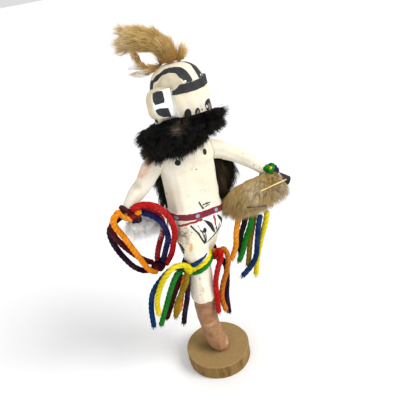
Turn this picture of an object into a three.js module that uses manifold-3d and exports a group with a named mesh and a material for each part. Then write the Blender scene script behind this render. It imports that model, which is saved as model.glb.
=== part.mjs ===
// A carved and painted wooden kachina doll on a sawn wooden disc, with real fur, yarn and two thin sticks.
// Millimetres, +Z up. The figure faces -Y, its right hand is at -X. The origin is the centre of the
// disc's underside. Heights in the tables of stations and routes are measured from the disc's top.
import * as THREE from 'three';
import { mergeVertices } from 'three/addons/utils/BufferGeometryUtils.js';
import Module from 'manifold-3d';

const wasm = await Module();
wasm.setup();

// Driving dimensions
const baseRadius = 30;
const baseThick = 14;
const baseEdge = 0.9;
const figureHeight = 264;
const yarnDiameter = 3.8;
const gap = 0.3;
const headRadius = 21.6;
const faceRaise = 0.9;
const faceHalfAngle = 59;
const browHeight = 5.4;
const browRaise = 0.5;
const tabReach = 32.5;
const tabThick = 4.2;
const tabHeight = 20.2;
const tabCorner = 7;
const tabSlant = 6.1;
const beltHeight = 5.4;
const beltFall = 0.135;
const beltRaise = 0.6;
const flapRaise = 0.8;
const flapLeft = 27;
const flapRight = 10;
const flapDrop = 25.8;
const chestRaise = 0.8;
const paleStickRadius = 0.6;
const blackStickRadius = 0.55;
const collarRadius = 23.5;
const collarWidth = 9.8;
const collarHalfHeight = 10.4;
const collarFullness = 3;

// The stations below are those of a figure 264 mm tall, and the carving keeps its proportions.
const share = figureHeight / 264;
const rad = Math.PI / 180;

// A place on the figure, from the disc's top
function place([x, y, z]) {
  return new THREE.Vector3(x * share, y * share, baseThick + z * share);
}

function toSolid(geometry) {
  const bare = geometry.clone();
  bare.deleteAttribute('normal');
  bare.deleteAttribute('uv');
  const merged = mergeVertices(bare, 1e-4);
  return new wasm.Manifold(new wasm.Mesh({
    numProp: 3,
    vertProperties: new Float32Array(merged.attributes.position.array),
    triVerts: new Uint32Array(merged.index.array),
  }));
}

function toGeometry(solid) {
  const mesh = solid.getMesh();
  const geometry = new THREE.BufferGeometry();
  geometry.setAttribute('position', new THREE.BufferAttribute(new Float32Array(mesh.vertProperties), 3));
  geometry.setIndex(new THREE.BufferAttribute(new Uint32Array(mesh.triVerts), 1));
  return geometry;
}

function joined(solids) {
  return solids.reduce((all, solid) => all.add(solid));
}

function without(solid, cuts) {
  return cuts.reduce((rest, cut) => rest.subtract(cut), solid);
}

// A closed skin over rings of points that run anticlockwise about the way from ring to ring
function skinOf(rings, closed = false) {
  const count = rings[0].length;
  const points = rings.flat();
  const index = [];
  const spans = closed ? rings.length : rings.length - 1;
  for (let i = 0; i < spans; i++) {
    const here = i * count;
    const next = ((i + 1) % rings.length) * count;
    for (let k = 0; k < count; k++) {
      const m = (k + 1) % count;
      index.push(here + k, here + m, next + k, here + m, next + m, next + k);
    }
  }
  if (!closed) {
    const last = (rings.length - 1) * count;
    const middles = [rings[0], rings[rings.length - 1]].map((ring) =>
      ring.reduce((sum, p) => sum.add(p), new THREE.Vector3()).divideScalar(count));
    const start = points.length;
    points.push(...middles);
    for (let k = 0; k < count; k++) {
      const m = (k + 1) % count;
      index.push(start, m, k, start + 1, last + k, last + m);
    }
  }
  const geometry = new THREE.BufferGeometry().setFromPoints(points);
  geometry.setIndex(index);
  return geometry;
}

function ringAround(centre, side, front, halfWide, halfDeep, sides, power, ripple) {
  return Array.from({ length: sides }, (_, k) => {
    const turn = (2 * Math.PI * k) / sides;
    const c = Math.cos(turn);
    const s = Math.sin(turn);
    const swell = 1 + ripple(turn);
    const across = Math.sign(c) * Math.abs(c) ** (2 / power) * halfWide * swell;
    const along = Math.sign(s) * Math.abs(s) ** (2 / power) * halfDeep * swell;
    return centre.clone().addScaledVector(side, across).addScaledVector(front, along);
  });
}

// A smooth value between the stations of a table
function smoothAt(values, t) {
  const n = values.length - 1;
  const i = Math.min(Math.floor(t * n), n - 1);
  const u = t * n - i;
  const a = values[i];
  const b = values[i + 1];
  const before = values[i - 1] ?? 2 * a - b;
  const after = values[i + 2] ?? 2 * b - a;
  return a + 0.5 * u * (b - before + u * (2 * before - 5 * a + 4 * b - after + u * (3 * (a - b) + after - before)));
}

const noRipple = () => 0;

// A limb, trunk or lock: stations of [x, y, z, half width, half depth], level rings where upright,
// and otherwise rings square to the way the limb runs. grow makes the same form that much fatter.
function limb(stations, { steps, sides = 16, power = 2, upright = false, side = [0, 0, 1], grow = 0,
  ripple = () => noRipple, turned = 0 }) {
  const rings = [];
  const column = (k) => stations.map((row) => row[k]);
  const spot = (t) => place([0, 1, 2].map((k) => smoothAt(column(k), t)));
  for (let i = 0; i <= steps; i++) {
    const t = i / steps;
    const centre = spot(t);
    const way = upright ? new THREE.Vector3(0, 0, 1)
      : spot(Math.min(t + 0.01, 1)).sub(spot(Math.max(t - 0.01, 0))).normalize();
    const across = upright ? new THREE.Vector3(Math.cos(turned * rad), Math.sin(turned * rad), 0)
      : new THREE.Vector3(...side).addScaledVector(way, -way.dot(new THREE.Vector3(...side))).normalize();
    const front = way.clone().cross(across);
    const end = i === 0 ? -1 : i === steps ? 1 : 0;
    centre.addScaledVector(way, end * grow);
    rings.push(ringAround(centre, across, front, smoothAt(column(3), t) * share + grow,
      smoothAt(column(4), t) * share + grow, sides, power, ripple(t)));
  }
  return toSolid(skinOf(rings));
}

// A block between two levels and two angles about an upright axis, wide enough to cut a whole ring
function wedge(centre, lower, upper, facing, halfAngle, reach) {
  const outline = new THREE.Shape();
  outline.moveTo(0, 0);
  const pieces = 6;
  for (let k = 0; k <= pieces; k++) {
    const turn = (facing - halfAngle + (2 * halfAngle * k) / pieces) * rad;
    outline.lineTo(reach * Math.cos(turn), reach * Math.sin(turn));
  }
  const block = new THREE.ExtrudeGeometry(outline, { depth: upper - lower, bevelEnabled: false });
  block.translate(centre.x, centre.y, lower);
  return toSolid(block);
}

// The disc: a slice of a branch, its edges a little worn
function baseSolid() {
  const profile = [[0, 0], [baseRadius - baseEdge, 0], [baseRadius, baseEdge], [baseRadius, baseThick - baseEdge],
    [baseRadius - baseEdge, baseThick], [0, baseThick]];
  const disc = new THREE.LatheGeometry(profile.map(([x, y]) => new THREE.Vector2(x, y)), 32);
  disc.rotateX(Math.PI / 2);
  return toSolid(disc);
}

// Carved body, from the sole to the neck
const trunkStations = [
  [4.2, 0.5, 112, 8, 7], [3.8, 0.2, 120, 15.5, 11.5], [3.7, -0.2, 130, 20.5, 14], [3.7, -0.5, 141, 22.2, 15],
  [3.7, -0.6, 152, 22.4, 14.8], [3.8, -0.6, 163, 22.2, 14.2], [3.9, -0.6, 174, 22.2, 14],
  [3.9, -0.6, 185, 22.4, 14.2], [3.9, -0.5, 195, 22.6, 13.6], [4.1, -0.4, 202, 20, 12],
];
const neckStations = [[4.2, -0.5, 200, 17, 10.5], [5, -1, 204, 13, 9.5], [6.2, -1.8, 208, 9, 8.5],
  [7.2, -2.6, 213, 8, 8]];
const standingLegStations = [
  [-3.2, 1, 58, 10.4, 10.6], [-3.4, 1.4, 64, 10.7, 10.9], [-3.2, 1.3, 72, 10.7, 10.9],
  [-2.9, 1, 82, 10.2, 10.4], [-2.7, 0.6, 92, 9.8, 10], [-2.8, 0.2, 100, 10.3, 10.4],
  [-3.6, 0, 110, 11, 11.4], [-4.6, 0, 121, 12, 12.4], [-5.4, 0, 134, 13, 13],
];
const bootStations = [
  [0.6, -0.5, 0, 8, 12.2], [0.6, -0.5, 3.5, 9, 13.4], [0.3, 0.6, 8, 9.3, 12.6], [-0.3, 2.6, 13.5, 9, 10.6],
  [-1.2, 3.8, 20, 8.8, 9.2], [-2.2, 3.6, 29, 8.9, 9], [-3.2, 3, 38, 9.1, 9.2], [-3.6, 2.2, 48, 9.5, 9.6],
  [-3.4, 1.5, 60, 9.7, 9.9],
];
const liftedThighStations = [[11, 0, 136, 12.5, 12.6], [12.5, 1, 128, 12, 12], [12, 3, 119, 10.8, 11],
  [9.8, 5.4, 110, 9.4, 9.8], [7.6, 8, 103, 8.8, 9]];
const liftedShinStations = [[7.2, 4.5, 106, 8, 8], [8, 11, 101, 8.6, 8.6], [9.2, 18, 94, 8.4, 8.4],
  [10.6, 25, 86, 7.6, 7.8], [11.6, 30, 79, 7, 7.4]];
const liftedBootStations = [[10.4, 24, 88, 7, 7], [11.4, 29.5, 81, 7, 8], [12, 31.5, 72, 6.8, 8.4],
  [12.2, 31, 62, 6.2, 7.6], [12.2, 29.5, 56, 4.6, 5]];

const beltCentre = 149.7;
const chestLine = 190;
const chestBow = 5;
const chestNotch = 1.2;
const soleLift = gap;

function trunkSolid(grow) {
  return limb(trunkStations, { steps: 7, sides: 16, power: 2.35, upright: true, grow });
}

// A level band round the trunk, which stands out from it
function trunkBand(lower, upper, raise) {
  const bottom = trunkStations[0][2];
  const run = trunkStations[trunkStations.length - 1][2] - bottom;
  const middle = (0.5 * (lower + upper) - bottom) / run;
  const column = (k) => smoothAt(trunkStations.map((row) => row[k]), middle);
  const row = (z) => [column(0), column(1), z, column(3) + raise / share, column(4) + raise / share];
  return limb([row(lower), row(upper)], { steps: 1, sides: 16, power: 2.35, upright: true });
}

function legsSolid(grow) {
  const boot = bootStations.map((row, i) => (i === 0 ? [row[0], row[1], soleLift / share, row[3], row[4]] : row));
  return joined([
    limb(standingLegStations, { steps: 6, sides: 12, power: 2.3, upright: true, grow }),
    limb(boot, { steps: 7, sides: 12, power: 2.2, upright: true, grow: 0 }),
    limb(liftedThighStations, { steps: 3, sides: 10, side: [1, 0, 0], grow }),
    limb(liftedShinStations, { steps: 4, sides: 10, side: [1, 0, 0], grow }),
    limb(liftedBootStations, { steps: 4, sides: 10, side: [1, 0, 0], grow }),
  ]);
}

// The belt slants down towards the figure's left
function slanted(solid) {
  return solid.transform([1, 0, -beltFall, 0, 0, 1, 0, 0, 0, 0, 1, 0, 0, 0, 0, 1]);
}

// The pointed front flap under the belt, as a prism through the body's front
function flapPrism() {
  const top = place([0, 0, beltCentre]).z - beltHeight / 2;
  const outline = new THREE.Shape();
  const underBelt = 3;
  outline.moveTo(-flapRight, underBelt);
  outline.lineTo(0, -flapDrop);
  outline.lineTo(flapLeft * 0.64, -flapDrop * 0.78);
  outline.lineTo(flapLeft, -flapDrop * 0.6);
  outline.lineTo(flapLeft, -underBelt);
  outline.closePath();
  const prism = new THREE.ExtrudeGeometry(outline, { depth: 60, bevelEnabled: false });
  prism.rotateX(Math.PI / 2);
  prism.translate(0, 0, top);
  return toSolid(prism);
}

// The raised chest, above a curved cut that dips in the middle of the front
function chestPrism() {
  const outline = new THREE.Shape();
  const halfWidth = 40;
  const bow = 16;
  outline.moveTo(-halfWidth, 3);
  outline.quadraticCurveTo(-bow, -chestBow, 0, chestNotch);
  outline.quadraticCurveTo(bow, -chestBow, halfWidth, 3);
  outline.lineTo(halfWidth, 30);
  outline.lineTo(-halfWidth, 30);
  outline.closePath();
  const prism = new THREE.ExtrudeGeometry(outline, { depth: 60, bevelEnabled: false, curveSegments: 4 });
  prism.rotateX(Math.PI / 2);
  const middle = place([3.9, -0.6, chestLine]);
  prism.translate(middle.x, middle.y, middle.z);
  return toSolid(prism);
}

function bodySolid(grow = 0) {
  const trunk = trunkSolid(grow);
  const belt = slanted(trunkBand(beltCentre - beltHeight / 2 / share, beltCentre + beltHeight / 2 / share,
    beltRaise + grow));
  const flap = trunkSolid(flapRaise + grow).intersect(flapPrism());
  const chest = trunkSolid(chestRaise + grow).intersect(chestPrism());
  const neck = limb(neckStations, { steps: 2, sides: 12, upright: true, grow });
  return joined([legsSolid(grow), trunk, belt, flap, chest, neck]);
}

// Arms, cut back to the body's side with the gap of the joint
const rightArmStations = [
  [-12, 1, 196, 8, 7.6], [-20, 2.4, 197.5, 8.2, 7.8], [-26, 2.4, 193.5, 7.4, 7.2], [-31, 2, 188, 6.8, 6.6],
  [-36.5, 1.6, 184, 6.3, 6.1], [-43, 1, 180.6, 5.9, 5.6], [-49.5, 0.4, 175.6, 4.5, 4.3],
  [-53.6, 0.1, 170.8, 4.1, 3.9], [-57.4, -0.2, 167, 3.2, 3],
];
const leftArmStations = [
  [15, 0, 193, 8, 7.6], [25, -1.2, 193, 8.4, 7.8], [34, -4, 189.5, 7.4, 7], [44, -9.5, 182.8, 6.5, 6.2],
  [54, -16, 174.2, 5.6, 5.2], [61.5, -20.8, 166, 4.7, 4.4], [67, -25, 159.5, 4.3, 4.1], [73, -30, 154.5, 4.6, 4.4],
  [77.5, -33.5, 151.8, 3.6, 3.4],
];

function armSolid(stations, grow = 0) {
  return limb(stations, { steps: 8, sides: 10, side: [0, 0, 1], power: 2.3, grow });
}

// The case mask: a cylinder that ends in a flattened dome, a raised face with a brow band, and two side tabs
const headMiddle = [6.9, -3.2];
const headFacing = -73;
const headBottom = 214;
const domeStart = 243.5;
const domeRise = 19.8;
const domePower = 2.4;
const headTaper = 1.6;
const browTop = 251.8;
const headSides = 26;
const tabBottom = 231.9;
const tabSetBack = 5.4;

function headCentre() {
  return place([...headMiddle, headBottom]);
}

function headRound(raise) {
  const profile = [[0, headBottom * share - raise * 0.2], [headRadius + raise, headBottom * share - raise * 0.2]];
  const rows = 5;
  for (let k = 0; k <= rows; k++) {
    const rise = Math.sin((k / rows) * 90 * rad);
    const radius = (headRadius - headTaper + raise) * (1 - rise ** domePower) ** (1 / domePower);
    const level = (domeStart + domeRise * rise) * share + (k === 0 ? 0 : raise * rise);
    profile.push([k === rows ? 0 : radius, level]);
  }
  const round = new THREE.LatheGeometry(profile.map(([x, y]) => new THREE.Vector2(x, y)), headSides);
  round.rotateX(Math.PI / 2);
  const middle = headCentre();
  round.translate(middle.x, middle.y, baseThick);
  return toSolid(round);
}

// The cylinder's radius at a level: it narrows a little towards the dome
function radiusAt(level) {
  return headRadius - (headTaper * (level - headBottom)) / (domeStart - headBottom);
}

function plateRound(raise, lower, upper) {
  const middle = headCentre();
  const profile = [[0, lower], [radiusAt(lower) + raise, lower], [radiusAt(upper) + raise * 0.4, upper], [0, upper]];
  const round = new THREE.LatheGeometry(profile.map(([x, y]) => new THREE.Vector2(x, baseThick + y * share)), headSides);
  round.rotateX(Math.PI / 2);
  round.translate(middle.x, middle.y, 0);
  return toSolid(round).intersect(wedge(middle, 0, 400, headFacing, faceHalfAngle, 60));
}

function headSolid(grow = 0) {
  const dome = headRound(grow);
  const browLower = browTop - browHeight / share;
  const face = plateRound(faceRaise + grow, headBottom, browTop);
  const brow = plateRound(faceRaise + browRaise + grow, browLower, browTop);
  return joined([dome, face, brow]);
}

// hand is 1 for the tab on the figure's right and -1 for the left one
function tabSolid(hand) {
  const root = headRadius - 4;
  const outline = new THREE.Shape();
  outline.moveTo(root, 0);
  outline.lineTo(tabReach - tabCorner, 0);
  outline.absarc(tabReach - tabCorner, tabCorner, tabCorner, -90 * rad, 0, false);
  outline.absarc(tabReach - tabCorner, tabHeight - tabCorner, tabCorner, 0, 90 * rad, false);
  outline.lineTo(root, tabHeight);
  outline.closePath();
  const tab = new THREE.ExtrudeGeometry(outline, { depth: tabThick, bevelEnabled: true, bevelSize: 0.5,
    bevelThickness: 0.5, bevelOffset: -0.5, bevelSegments: 1, curveSegments: 3 });
  tab.rotateX(Math.PI / 2);
  tab.translate(0, hand > 0 ? 1.2 : tabSetBack, 0);
  if (hand > 0) tab.scale(-1, 1, 1);
  const faces = tab.index ? tab.toNonIndexed() : tab;
  if (hand > 0) flipFaces(faces);
  faces.rotateZ((headFacing + 90) * rad);
  const middle = headCentre();
  faces.translate(middle.x, middle.y, baseThick + tabBottom * share);
  const plate = toSolid(faces);
  return without(hand > 0 ? plate.add(cheekWedge(middle)) : plate, [headSolid(gap)]);
}

// The front of the right tab slants forward into the cheek
function cheekWedge(middle) {
  const front = tabThick - 0.7;
  const outline = new THREE.Shape();
  outline.moveTo(-tabReach + 3, -front + 0.2);
  outline.lineTo(-headRadius + 3, -front - tabSlant);
  outline.lineTo(-headRadius + 3, -front + 0.2);
  outline.closePath();
  const wedgeForm = new THREE.ExtrudeGeometry(outline, { depth: tabHeight - 1, bevelEnabled: false });
  wedgeForm.translate(0, 0, 0.5).rotateZ((headFacing + 90) * rad);
  wedgeForm.translate(middle.x, middle.y, baseThick + tabBottom * share);
  return toSolid(wedgeForm);
}

function flipFaces(geometry) {
  const { array } = geometry.attributes.position;
  for (let i = 0; i < array.length; i += 9) {
    for (let k = 0; k < 3; k++) {
      [array[i + 3 + k], array[i + 6 + k]] = [array[i + 6 + k], array[i + 3 + k]];
    }
  }
}

// Yarns: hand-laid routes from the disc's top, each from its knot or wrap to its free or gathered end
const routes = {
  hoop_yarn_red: [[-51.5, -6, 174.5], [-48.5, -8.5, 176.8], [-43.5, -9.8, 176.3], [-35.5, -11, 172],
    [-29, -11, 163.5], [-25, -10, 154.5], [-22.5, -7, 141], [-22, 0, 128], [-21.5, 9, 113], [-24, 19, 98.5]],
  hoop_yarn_navy: [[-47.5, -0.8, 169], [-41.5, -4.5, 166.5], [-35.5, -6, 161], [-30, -5, 152],
    [-26, -1, 136.5], [-25.5, 10, 118.5], [-26.5, 18.5, 103.5]],
  hoop_yarn_crimson: [[-46.5, 2.5, 167.5], [-38.5, 0.5, 166], [-31, 0, 159.5], [-27, 1, 151.5],
    [-26.5, 5, 139.5], [-28, 11, 128], [-29.5, 17.5, 115], [-30, 21.5, 105.5]],
  hoop_yarn_orange: [[-59, -2, 175.5], [-63.9, 0.5, 170.5], [-63.3, 4, 162.5], [-58, 8, 149.5],
    [-53, 12, 136], [-48, 15.5, 122.5], [-43.5, 18.5, 109.5], [-38.5, 20.5, 99], [-33, 21, 94.5]],
  hoop_yarn_maroon: [[-58.5, 4.5, 170], [-63.5, 10, 160.5], [-62.8, 14, 150], [-58.5, 17, 139.5],
    [-52.5, 19.5, 128], [-45, 22, 116], [-38.5, 23.4, 108], [-33.5, 24.2, 103]],
  hoop_yarn_plum: [[-54.5, 7.5, 166], [-59.5, 13.5, 160.5], [-63.5, 17.8, 153.5], [-63, 21.5, 142.5],
    [-60, 24, 130.5], [-55.5, 25.8, 118.5], [-49, 26.8, 105.5], [-41, 26.4, 97.5], [-33.5, 25.2, 96]],
  knee_yarn_blue: [[-20, 0.5, 102.5], [-27.5, 2, 104], [-36.5, 8, 95.5], [-44.5, 14, 82.5],
    [-48.5, 17, 66], [-50.5, 17.5, 46]],
  knee_yarn_yellow: [[-21.5, -2, 106.5], [-28.5, -2, 107.5], [-36.5, 2.5, 98.5], [-41.5, 8, 85],
    [-44.5, 11.5, 71.5], [-45, 12, 60]],
  knee_yarn_green: [[-19.5, 1.5, 98.5], [-25, 1.5, 96.5], [-31.5, 5, 83.5], [-36.5, 8.5, 69.5],
    [-41, 12, 56], [-45, 14, 46]],
  knee_yarn_olive: [[-17.5, -3.5, 98], [-20, -3, 88.5], [-25.5, 0.5, 77], [-30.5, 3.5, 66],
    [-33, 5.5, 53]],
  knee_yarn_maroon: [[-19, 6.5, 92.5], [-22.5, 8.5, 81.5], [-27.5, 11.5, 69.5], [-32.5, 14, 57.5],
    [-37, 16.5, 47]],
  knee_yarn_orange: [[-16, 4, 90], [-20, 4.5, 81], [-23.5, 6, 69], [-26.5, 7, 59], [-30, 9, 52]],
  knee_yarn_plum: [[-16, -0.5, 91], [-18, 0, 80.5], [-21, 1.5, 66.5], [-24.5, 3.5, 54], [-27, 5.5, 41.5]],
  shin_yarn_red: [[8.5, -7, 99.5], [11, -13.5, 109], [10.5, -15.5, 104], [6.5, -14, 93.5],
    [3, -12, 79.5], [2, -11.5, 63], [1, -11, 46]],
  shin_yarn_orange: [[12.5, -5, 97], [17, -11, 106], [19, -13, 97.5], [16, -12.5, 85], [10.5, -11, 72],
    [7.5, -10, 57.5], [8.5, -12, 44]],
  shin_yarn_plum: [[13.5, -3.5, 92.5], [17, -6.5, 93], [18.5, -8.5, 83.5], [17.5, -8, 70.5],
    [15.5, -6.5, 55], [15, -6, 33.5]],
  hand_yarn_orange: [[34.5, -20, 137.5], [31, -18, 128.5], [28.5, -16.5, 117.5], [27, -15.5, 105.5],
    [22.5, -13, 93]],
  hand_yarn_black: [[39.5, -19.5, 133], [37, -18, 123.5], [34, -16, 114.5], [32.5, -14.5, 104.5],
    [32, -14, 93.5]],
  hand_yarn_green: [[42, -24, 132.5], [39, -23, 122.5], [35, -20.5, 111.5], [31.5, -19, 100.5],
    [27.5, -16.5, 90]],
  hand_yarn_olive: [[46, -22, 130.5], [43, -20.5, 117.5], [40.5, -18.5, 104], [38.5, -17.5, 92],
    [36.5, -16.5, 80.5]],
  hand_yarn_navy: [[47.5, -27.5, 131], [45, -26, 119], [43, -25, 105.5], [40, -24.5, 92],
    [35, -22.5, 83.5], [27, -19, 75.5]],
  hand_yarn_yellow: [[55, -28, 131.5], [53, -27, 121.5], [49.5, -24, 107.5], [46, -22, 94],
    [43.5, -20.5, 82], [41.5, -19.5, 69]],
};
const yarnColours = {
  red: 0xa81717, navy: 0x1c1f4d, crimson: 0x8c1220, orange: 0xe8860c, maroon: 0x4a0f1c, plum: 0x24101f,
  blue: 0x12437f, yellow: 0xe6d20f, green: 0x1b8c1d, olive: 0x8f7a14, black: 0x121212,
};
const yarnStep = 4 * yarnDiameter;

function yarnTube(route, diameter, ahead = 0, sides = 7) {
  const points = route.map(([x, y, z]) => new THREE.Vector3(x, y, baseThick + z));
  if (ahead > 0) {
    const [last, beforeLast] = [points[points.length - 1], points[points.length - 2]];
    points.unshift(points[0].clone().sub(points[1]).setLength(ahead).add(points[0]));
    points.push(last.clone().sub(beforeLast).setLength(ahead).add(last));
  }
  const curve = new THREE.CatmullRomCurve3(points, false, 'centripetal');
  const section = new THREE.Shape();
  section.absarc(0, 0, diameter / 2, 0, 2 * Math.PI, false);
  const steps = Math.max(5, Math.round(curve.getLength() / yarnStep));
  return toSolid(new THREE.ExtrudeGeometry(section, { steps, extrudePath: curve, bevelEnabled: false,
    curveSegments: sides / 2 }));
}

function socketsOf(family) {
  return Object.keys(routes).filter((name) => name.startsWith(family))
    .map((name) => yarnTube(routes[name], (yarnDiameter + 2 * gap) / Math.cos(30 * rad), gap, 6));
}

// Turns of yarn laid side by side about a limb, one swell for each, fused with their knots
function wrapSolid(centre, way, limbRadius, turns, knots, grow = 0) {
  const pieces = [];
  if (turns > 0) {
    const inner = grow > 0 ? limbRadius / 2 : limbRadius + gap;
    const outer = limbRadius + gap + yarnDiameter + grow;
    const groove = outer - 0.36 * yarnDiameter;
    const halfLength = (turns * yarnDiameter * 0.86) / 2 + grow;
    const profile = [new THREE.Vector2(inner, -halfLength)];
    for (let k = 0; k <= turns; k++) {
      const level = -halfLength + (2 * halfLength * k) / turns;
      profile.push(new THREE.Vector2(groove, level));
      if (k < turns) profile.push(new THREE.Vector2(outer, level + halfLength / turns));
    }
    profile.push(new THREE.Vector2(inner, halfLength), profile[0].clone());
    const ring = new THREE.LatheGeometry(profile, 8);
    ring.applyQuaternion(new THREE.Quaternion().setFromUnitVectors(new THREE.Vector3(0, 1, 0),
      new THREE.Vector3(...way).normalize()));
    const middle = place(centre);
    ring.translate(middle.x, middle.y, middle.z);
    pieces.push(toSolid(ring));
  }
  for (const [x, y, z, size] of knots) {
    const knot = new THREE.SphereGeometry(size + grow, 6, 4);
    knot.scale(1, 1, 0.85);
    const middle = place([x, y, z]);
    knot.translate(middle.x, middle.y, middle.z);
    pieces.push(toSolid(knot));
  }
  return joined(pieces);
}

// Fur: a fold of locks on a round, closed form
const locks = (count, depth, twist) => (t) => (turn) =>
  depth * Math.sin(count * turn + twist * t) * Math.sin(Math.PI * Math.min(1, 0.15 + t));

const collarThickest = 215;
const collarHighest = 330;
const collarTilt = 2.4;

function collarSolid() {
  const middle = place([3.6, -2, 215]);
  const rings = [];
  const around = 20;
  for (let i = 0; i < around; i++) {
    const turn = (2 * Math.PI * i) / around;
    const lump = 1 + 0.06 * Math.sin(5 * turn + 0.7) + 0.05 * Math.sin(11 * turn);
    const out = new THREE.Vector3(Math.cos(turn), Math.sin(turn), 0);
    const centre = middle.clone().addScaledVector(out, collarRadius);
    centre.z += collarTilt * Math.cos(turn - collarHighest * rad);
    const tall = collarHalfHeight + collarFullness * Math.cos(turn - collarThickest * rad);
    rings.push(ringAround(centre, out, new THREE.Vector3(0, 0, 1), collarWidth * lump, tall * lump, 8, 2.3,
      noRipple));
  }
  return toSolid(skinOf(rings.reverse(), true));
}

const backFurStations = [[12, 15, 138, 14, 5], [13, 14, 143, 22, 9], [15, 12, 153, 30, 13], [17, 11, 166, 35, 15],
  [16, 11, 180, 34, 15], [12, 11, 192, 29, 14], [8, 9, 202, 22, 12]];
const plumeSpine = [[5.6, -1.2, 256, 6.6, 6], [6.2, 0.4, 264.5, 7, 6.6], [4.6, 0.8, 272, 7.4, 7],
  [-0.8, 3.6, 278.6, 7.8, 7], [-8.2, 7.6, 281.8, 7.8, 7], [-15.4, 11.6, 282.8, 7, 6.4], [-21, 14.8, 282.6, 4, 3.6]];
const plumeLocks = [
  [[10, -3, 260, 4.6, 4.6], [13, -4.2, 265.5, 4, 4], [14.2, -4.8, 269, 2.4, 2.4], [14.4, -5, 272, 0.7, 0.7]],
  [[-13, 10, 286, 5, 5], [-18, 12.6, 288, 3.6, 3.4], [-21.5, 14.6, 290.4, 1.6, 1.6], [-23.4, 15.6, 292.4, 0.6, 0.6]],
  [[-14, 11, 283, 5, 5], [-20, 14.4, 283.4, 3.8, 3.8], [-24.6, 16.8, 284.6, 1.8, 1.8], [-27.6, 18.4, 286, 0.6, 0.6]],
  [[-12, 10, 280, 5, 5], [-18, 13.4, 279, 3.8, 3.8], [-23.4, 16.4, 278.6, 1.8, 1.8], [-27, 18.2, 279.4, 0.6, 0.6]],
  [[2, 1, 260.5, 4, 4], [-4.6, 3.6, 261, 3, 3], [-10, 6.4, 263.2, 2, 2], [-14, 8.6, 268, 1.2, 1.2],
    [-16, 10, 273.5, 0.6, 0.6]],
];
const handFurStations = [[26, -8, 142, 5, 5], [31, -13, 144, 10.5, 9], [38, -17.5, 146.5, 13.6, 12],
  [47, -22.5, 149.5, 14.6, 12.6], [56, -27, 152.6, 13.8, 11.6], [64.5, -31, 154.6, 11.4, 9.6],
  [71.5, -35.5, 151.5, 7.4, 6.6], [76.5, -38.6, 148, 3, 3]];
const fluffStations = [[-50, 6.6, 161, 3.6, 3.4], [-47, 8.2, 155, 7, 6], [-41, 9.4, 150.4, 9, 7.4],
  [-34, 9.2, 148.6, 7.4, 6.4], [-28, 8.8, 149.4, 5.8, 5], [-24, 8.4, 150.6, 2.6, 2.6]];

function stickSolid(from, to, radius, grow = 0) {
  const stations = [from, to].map((end) => [...end, radius / share, radius / share]);
  return limb(stations, { steps: 1, sides: 8, side: [0, 0, 1], grow });
}

const paleStickEnds = [[43, -36.4, 158], [65, -43, 161]];
const blackStickEnds = [[32.5, -30.6, 146], [47, -37, 143]];

// Built once, since the softer pieces are cut clear of the carved ones
const clearBody = bodySolid(gap);
const clearHead = headSolid(gap);
const clearRightArm = armSolid(rightArmStations, gap);
const clearLeftArm = armSolid(leftArmStations, gap);
const clearSticks = [stickSolid(...paleStickEnds, paleStickRadius, gap),
  stickSolid(...blackStickEnds, blackStickRadius, gap)];

const figure = new THREE.Group();

function add(name, solid, colour, roughness) {
  const material = new THREE.MeshStandardMaterial({ color: colour, roughness, metalness: 0 });
  const mesh = new THREE.Mesh(toGeometry(solid), material);
  mesh.name = name;
  figure.add(mesh);
}

const paintWhite = 0xe9e4d4;
const charcoal = 0x2b2c2e;
const sawnWood = 0xa98a52;
const tanFur = 0xb08a4a;
const blackFur = 0x15110f;

add('base_disc', baseSolid(), sawnWood, 0.8);
add('body', bodySolid(), paintWhite, 0.6);
add('right_arm', without(armSolid(rightArmStations), [clearBody]), paintWhite, 0.6);
add('left_arm', without(armSolid(leftArmStations), [clearBody]), paintWhite, 0.6);
add('mask_head', headSolid(), paintWhite, 0.6);
add('right_ear_tab', tabSolid(1), charcoal, 0.6);
add('left_ear_tab', tabSolid(-1), charcoal, 0.6);

// The collar's fur opens round the mask and the neck, and parts for the shoulders
const collarHole = new THREE.CylinderGeometry(1, 1, 60, 16).rotateX(Math.PI / 2);
const holeRadius = (headRadius + faceRaise + gap) / Math.cos(Math.PI / 16);
collarHole.scale(holeRadius, holeRadius, 1).translate(headCentre().x, headCentre().y, headCentre().z + 30);
const clearNeck = limb(neckStations, { steps: 2, sides: 12, upright: true, grow: gap });
const clearTrunk = trunkSolid(chestRaise + gap);
add('fur_collar', without(collarSolid(), [toSolid(collarHole), clearNeck, clearTrunk, clearRightArm,
  clearLeftArm, joined([tabSolid(1), tabSolid(-1)])]), blackFur, 0.9);

const backFur = limb(backFurStations, { steps: 6, sides: 16, upright: true, turned: -14,
  ripple: locks(5, 0.05, 3) });
const clearCollar = collarSolid();
add('back_fur', without(backFur, [clearTrunk, clearBody, clearRightArm, clearLeftArm, clearCollar]), blackFur, 0.9);

const plume = joined([limb(plumeSpine, { steps: 6, sides: 10, side: [0.5, 0.87, 0], ripple: locks(4, 0.08, 2) }),
  ...plumeLocks.map((lock) => limb(lock, { steps: 3, sides: 4, side: [0.5, 0.87, 0] }))]);
add('crest_plume', without(plume, [clearHead]), tanFur, 0.9);

const handFur = limb(handFurStations, { steps: 7, sides: 12, side: [0, 0, 1], ripple: locks(4, 0.05, 2) });
add('pale_stick', stickSolid(...paleStickEnds, paleStickRadius), 0xd9c98a, 0.6);
add('black_stick', stickSolid(...blackStickEnds, blackStickRadius), charcoal, 0.6);

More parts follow.
